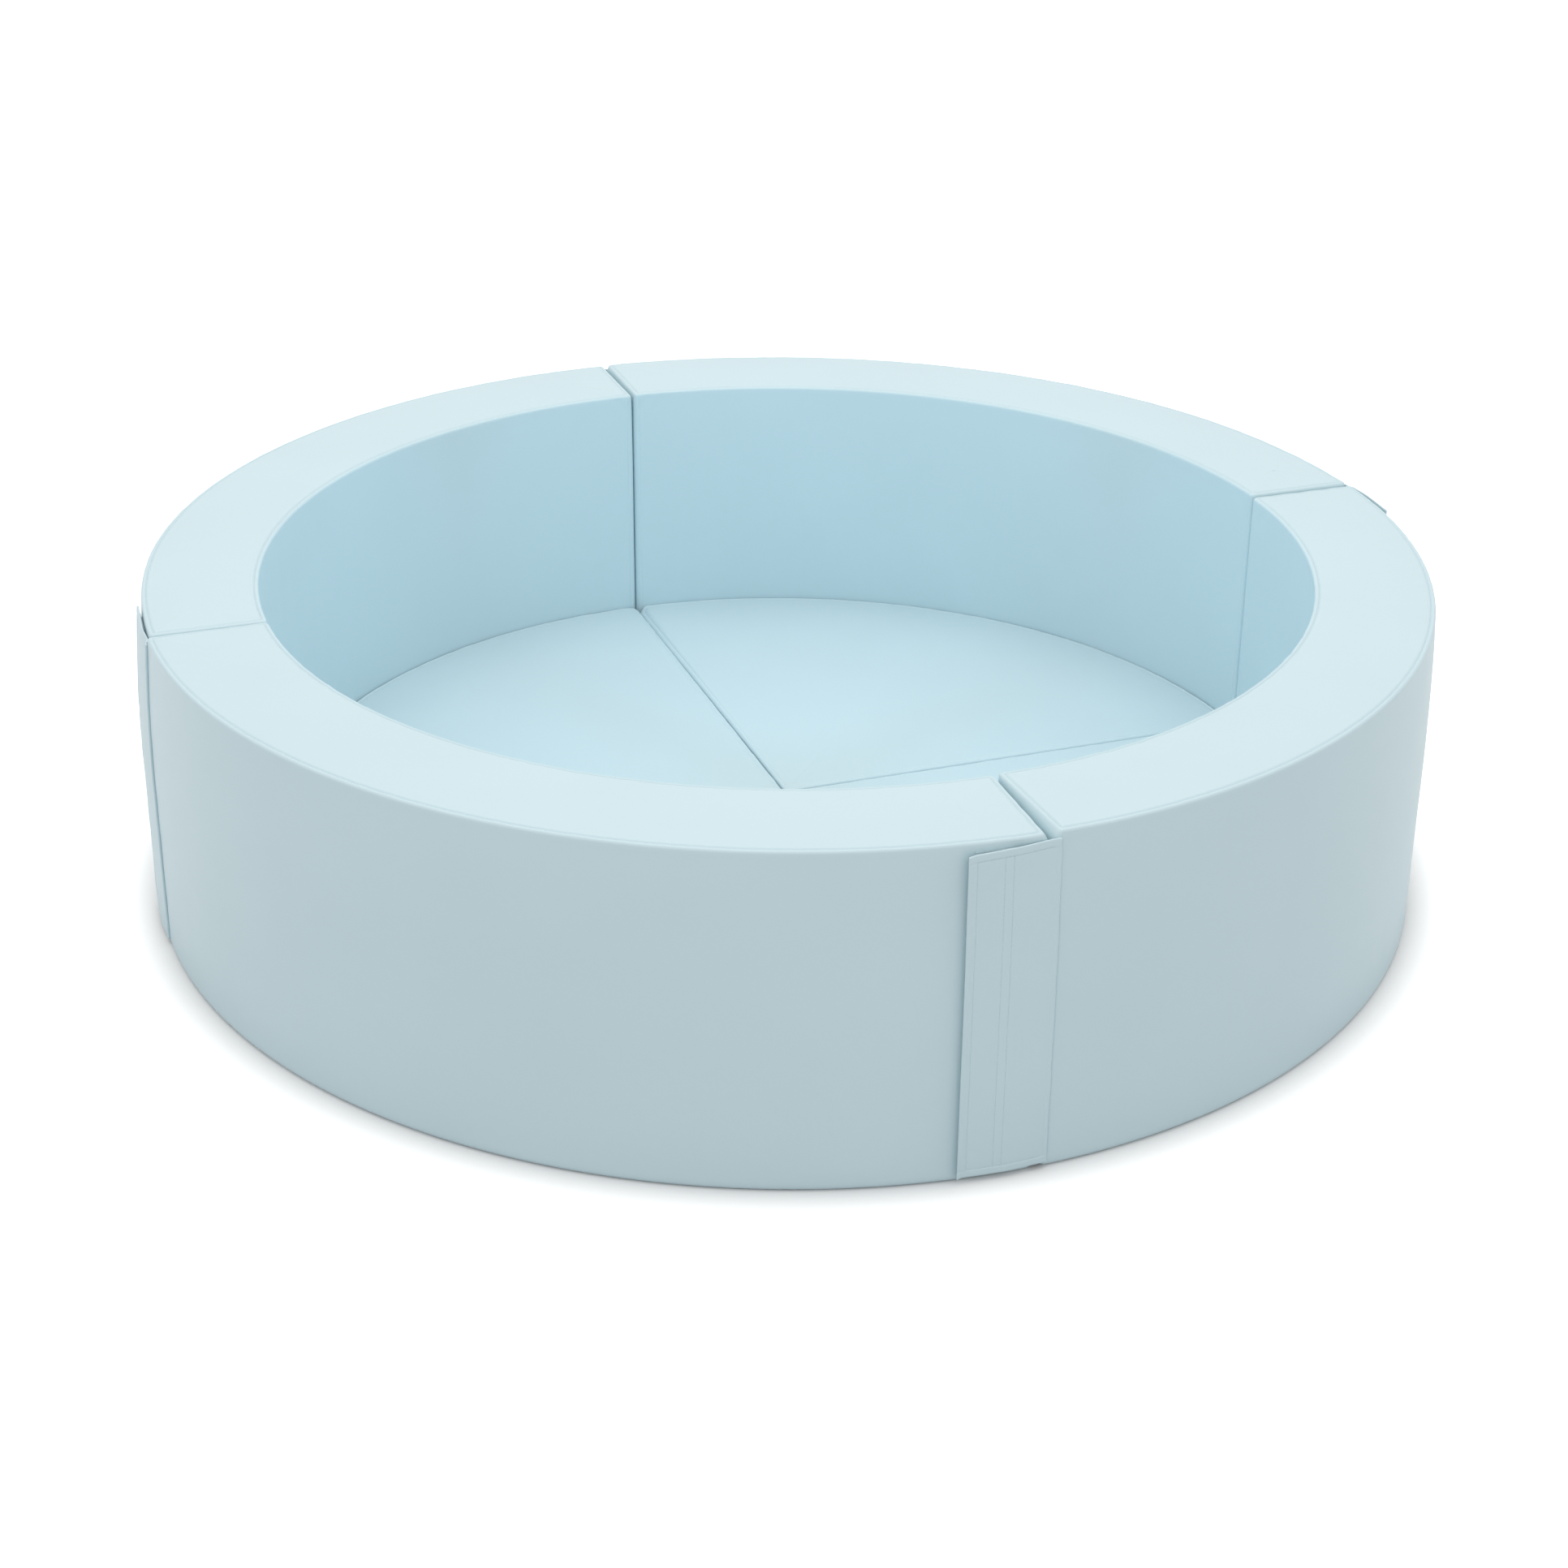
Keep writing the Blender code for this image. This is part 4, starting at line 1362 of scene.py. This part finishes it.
class PIT_OT_flap_stitches(bpy.types.Operator):
    """Sews the stitch rows of the flaps"""
    bl_idname = "pit.flap_stitches"
    bl_label = "Flap Stitches"

    def execute(self, context):
        look = context.scene.pit_flaps
        tree = repeat_tree("pit_stitches")
        thread = woven_material("pale_thread", (0.60, 0.74, 0.78), 0.0004, 0.0001, 0.6)
        lift = FLAP_THICKNESS / 2 - look.stitch_dent + look.stitch_width * THREAD_LIFT
        low, high = FLAP_END + FLAP_END_SEAM, WALL_HEIGHT - FLAP_END - FLAP_END_SEAM
        up = np.linspace(low, high, UPRIGHT_POINTS)
        across = np.linspace(LEVEL_START, FLAP_SEAMS[-1], LEVEL_POINTS)
        for joint, name in enumerate(SECTIONS):
            paths = [on_flap(joint, seam, up, lift, look) for seam in FLAP_SEAMS]
            paths += [on_flap(joint, across, height, lift, look) for height in (low, high)]
            stitches = repeated(
                f"{name}_flap_stitches", paths, tree, thread, spacing=look.stitch_spacing,
                length=look.stitch_length, width=look.stitch_width, height=look.stitch_width,
            )
            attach(stitches, f"{name}_joining_flap")
        return {"FINISHED"}


class PIT_OT_hook_and_loop(bpy.types.Operator):
    """Finishes the hook strips of the flaps and the loop strips of the walls"""
    bl_idname = "pit.hook_and_loop"
    bl_label = "Hook and Loop"

    def execute(self, context):
        hooks = pile_material("hook_pile", (0.78, 0.82, 0.83), 0.0009, 0.0005)
        loops = pile_material("loop_pile", (0.55, 0.70, 0.75), 0.0014, 0.0004)
        look = context.scene.pit_flaps
        for joint, name in enumerate(SECTIONS):
            gripped = SECTIONS[joint - 1]
            for piece, carrier, slot, body in (
                (hook_strip(joint, look, hooks), f"{name}_flap", "hook_strip", f"{name}_joining_flap"),
                (loop_strip(joint, look, loops), f"{gripped}_wall", "loop_strip", f"{gripped}_wall_section"),
            ):
                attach(piece, body)
                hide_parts(f"{carrier}_{slot}")
        return {"FINISHED"}


def finish_node(node, material):
    """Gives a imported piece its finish."""
    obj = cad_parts[node]
    if not obj.material_slots:
        obj.data.materials.append(material)
    for slot in obj.material_slots:
        slot.material = material


class PIT_OT_zips(bpy.types.Operator):
    """Makes the zips' tapes and teeth, and finishes their sliders"""
    bl_idname = "pit.zips"
    bl_label = "Zips"

    def execute(self, context):
        look = context.scene.pit_zips
        tree = repeat_tree("pit_zip_teeth")
        tape_cloth = woven_material("woven_tape", (0.52, 0.62, 0.66), 0.0006, 0.0002, 0.8)
        teeth_plastic = woven_material("coil_teeth", (0.62, 0.72, 0.75), 0.0008, 0.00005, 0.45)
        nickel = nickel_material()
        for section, name in enumerate(SECTIONS):
            for kind, radius, body in (
                ("wall", WALL_ZIP_RADIUS, f"{name}_wall_section"),
                ("floor", FLOOR_ZIP_RADIUS, f"{name}_floor_cushion"),
            ):
                loop = zip_loop(section, radius, TAPE_WIDTH, TAPE_MARGIN, TAPE_COUNTS)
                rows = [at_height(loop, height) for height in (TAPE_LOW, TAPE_LOW + TAPE_THICKNESS)]
                mesh = mesh_from_rows(f"{name}_{kind}_zip_tape", rows, ("band", "band"), sum(TAPE_COUNTS[1:]))
                tape = place(f"{name}_{kind}_zip_tape", mesh, tape_cloth)
                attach(tape, body)
                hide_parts(f"{name}_{kind}_zip")
                first, last = zip_turns(section, radius, CHAIN_MARGIN)
                paths = []
                for side, shift in ((-1, 0.0), (1, look.tooth_spacing / 2)):
                    path = direction(np.linspace(first + shift / radius, last, CHAIN_POINTS))
                    paths.append(at_height(path * (radius + side * look.row_offset), CHAIN_HEIGHT))
                teeth = repeated(
                    f"{name}_{kind}_zip_teeth", paths, tree, teeth_plastic, spacing=look.tooth_spacing,
                    length=look.tooth_length, width=look.tooth_width, height=look.tooth_height,
                )
                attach(teeth, body)
                finish_node(f"{name}_{kind}_zip_slider", nickel)
        return {"FINISHED"}


def studio_floor(look):
    """Pale floor that shows white and keeps the object's shadow, with painted shade in a band round the ring
    where its glow fades out.
    """
    bpy.ops.mesh.primitive_plane_add(size=40, location=(0, 0, -0.0004))
    floor = bpy.context.object
    floor.name = "studio_floor"
    material, net, shader, where = new_material("white_sweep")
    net.tree.nodes.remove(shader)
    distance = net.add("ShaderNodeVectorMath", {0: where}, operation="LENGTH").outputs["Value"]
    # Glow weakest at the ring's edge: painted shade in a band round where the ring stands, added to the real
    # shadow
    glow = net.add("ShaderNodeMapRange", {
        "Value": distance, "From Min": RING_RADIUS, "From Max": RING_RADIUS + look.painted_shade_reach,
        "To Min": look.near_glow, "To Max": look.far_glow,
    }).outputs["Result"]
    plain, pale = (
        net.add("ShaderNodeBsdfDiffuse", {"Color": (shade, shade, shade, 1)}).outputs[0]
        for shade in (0.55, 0.86)
    )
    glowing = net.add("ShaderNodeEmission", {"Strength": glow}).outputs[0]
    seen = net.add("ShaderNodeAddShader", {0: pale, 1: glowing}).outputs[0]
    net.give(net.tree.nodes["Material Output"], {"Surface": net.seen_or_not(seen, plain)})
    floor.data.materials.append(material)


def studio_world(look):
    """Even light all round, which shows white."""
    world = bpy.data.worlds.new("studio_sky")
    bpy.context.scene.world = world
    world.use_nodes = True
    net = Net(world.node_tree)
    lit = net.give(net.tree.nodes["Background"], {"Color": (1, 1, 1, 1), "Strength": look.sky}).outputs[0]
    seen = net.add("ShaderNodeBackground", {"Color": (1, 1, 1, 1)}).outputs[0]
    net.give(net.tree.nodes["World Output"], {"Surface": net.seen_or_not(seen, lit)})


# Soft lights round the pit: name of each and of its power, place, size and colour
LAMPS = (
    ("overhead", (0, 0.2, 3.2), 3.6, (1.0, 0.927, 0.862)),
    ("from_left", (-4.2, -0.6, 2.0), 2.6, (1.0, 0.88, 0.77)),
    ("from_front", (-0.4, -4.6, 2.6), 3.0, (0.90, 0.95, 1.0)),
)
# Fill lights inside it, back to back, that face the walls
INSIDE_HEIGHT = 0.36
INSIDE_SIZE = (0.9, 0.24)
INSIDE_COLOUR = (0.337, 0.722, 1.0)


def studio_lamp(name, place_at, aim, size, power, colour, height=None):
    """Soft light: a disk that shows, or a plain fill of its own height that neither shows nor mirrors."""
    lamp = bpy.data.lights.new(name, "AREA")
    lamp.shape = "RECTANGLE" if height else "DISK"
    lamp.size = size
    lamp.size_y = height or size
    lamp.energy = power
    lamp.color = colour
    obj = linked(name, lamp)
    obj.location = place_at
    obj.rotation_euler = (Vector(aim) - Vector(place_at)).to_track_quat("-Z", "Y").to_euler()
    obj.visible_camera = obj.visible_glossy = not height


class PIT_OT_studio(bpy.types.Operator):
    """Sets the floor, the soft light and the camera"""
    bl_idname = "pit.studio"
    bl_label = "Studio"

    def execute(self, context):
        look = context.scene.pit_stage
        context.scene.view_settings.view_transform = "Standard"
        studio_floor(look)
        studio_world(look)
        for name, place_at, size, colour in LAMPS:
            studio_lamp(name, place_at, (0, 0, 0), size, getattr(look, name), colour)
        for turn in (pi / 4, 3 * pi / 4, 5 * pi / 4, 7 * pi / 4):
            middle, aim = (
                Vector((cos(turn) * reach, sin(turn) * reach, INSIDE_HEIGHT)) for reach in (0.01, 1)
            )
            studio_lamp("inside", middle, aim, INSIDE_SIZE[0], look.inside, INSIDE_COLOUR, INSIDE_SIZE[1])
        data = bpy.data.cameras.new("photo_view")
        data.lens = look.lens
        data.sensor_width = 36
        data.clip_end = 100
        camera = linked("photo_view", data)
        ahead = Vector((0, cos(look.pitch), -sin(look.pitch)))
        level_right, level_up = Vector((1, 0, 0)), Vector((0, sin(look.pitch), cos(look.pitch)))
        right = level_right * cos(look.roll) + level_up * sin(look.roll)
        up = level_up * cos(look.roll) - level_right * sin(look.roll)
        camera.matrix_world = Matrix.Translation(
            Vector(look.look_at) - ahead * look.distance
        ) @ Matrix((right, up, -ahead)).transposed().to_4x4()
        context.scene.camera = camera
        return {"FINISHED"}


class PIT_PT_panel(bpy.types.Panel):
    """Lists what the ball pit is made of"""
    bl_idname = "PIT_PT_panel"
    bl_label = "Sectional Ball Pit"
    bl_space_type = "VIEW_3D"
    bl_region_type = "UI"
    bl_category = "Ball Pit"

    def draw(self, context):
        for operator in STEPS:
            self.layout.operator(operator.bl_idname)


STEPS = (
    PIT_OT_studio, PIT_OT_wall_sections, PIT_OT_floor_cushions, PIT_OT_joining_flaps, PIT_OT_flap_stitches,
    PIT_OT_hook_and_loop, PIT_OT_zips,
)
SETTINGS = {
    "pit_covers": PitCoverSettings, "pit_flaps": PitFlapSettings, "pit_zips": PitZipSettings,
    "pit_stage": PitStageSettings,
}


def register():
    for kind in (*SETTINGS.values(), *STEPS, PIT_PT_panel):
        bpy.utils.register_class(kind)
    for name, kind in SETTINGS.items():
        setattr(bpy.types.Scene, name, PointerProperty(type=kind))


def unregister():
    for name in SETTINGS:
        delattr(bpy.types.Scene, name)
    for kind in (PIT_PT_panel, *reversed(STEPS), *reversed(SETTINGS.values())):
        bpy.utils.unregister_class(kind)


def main():
    register()
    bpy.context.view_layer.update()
    for operator in STEPS:
        group, name = operator.bl_idname.split(".")
        getattr(getattr(bpy.ops, group), name)()


if __name__ == "__main__":
    main()
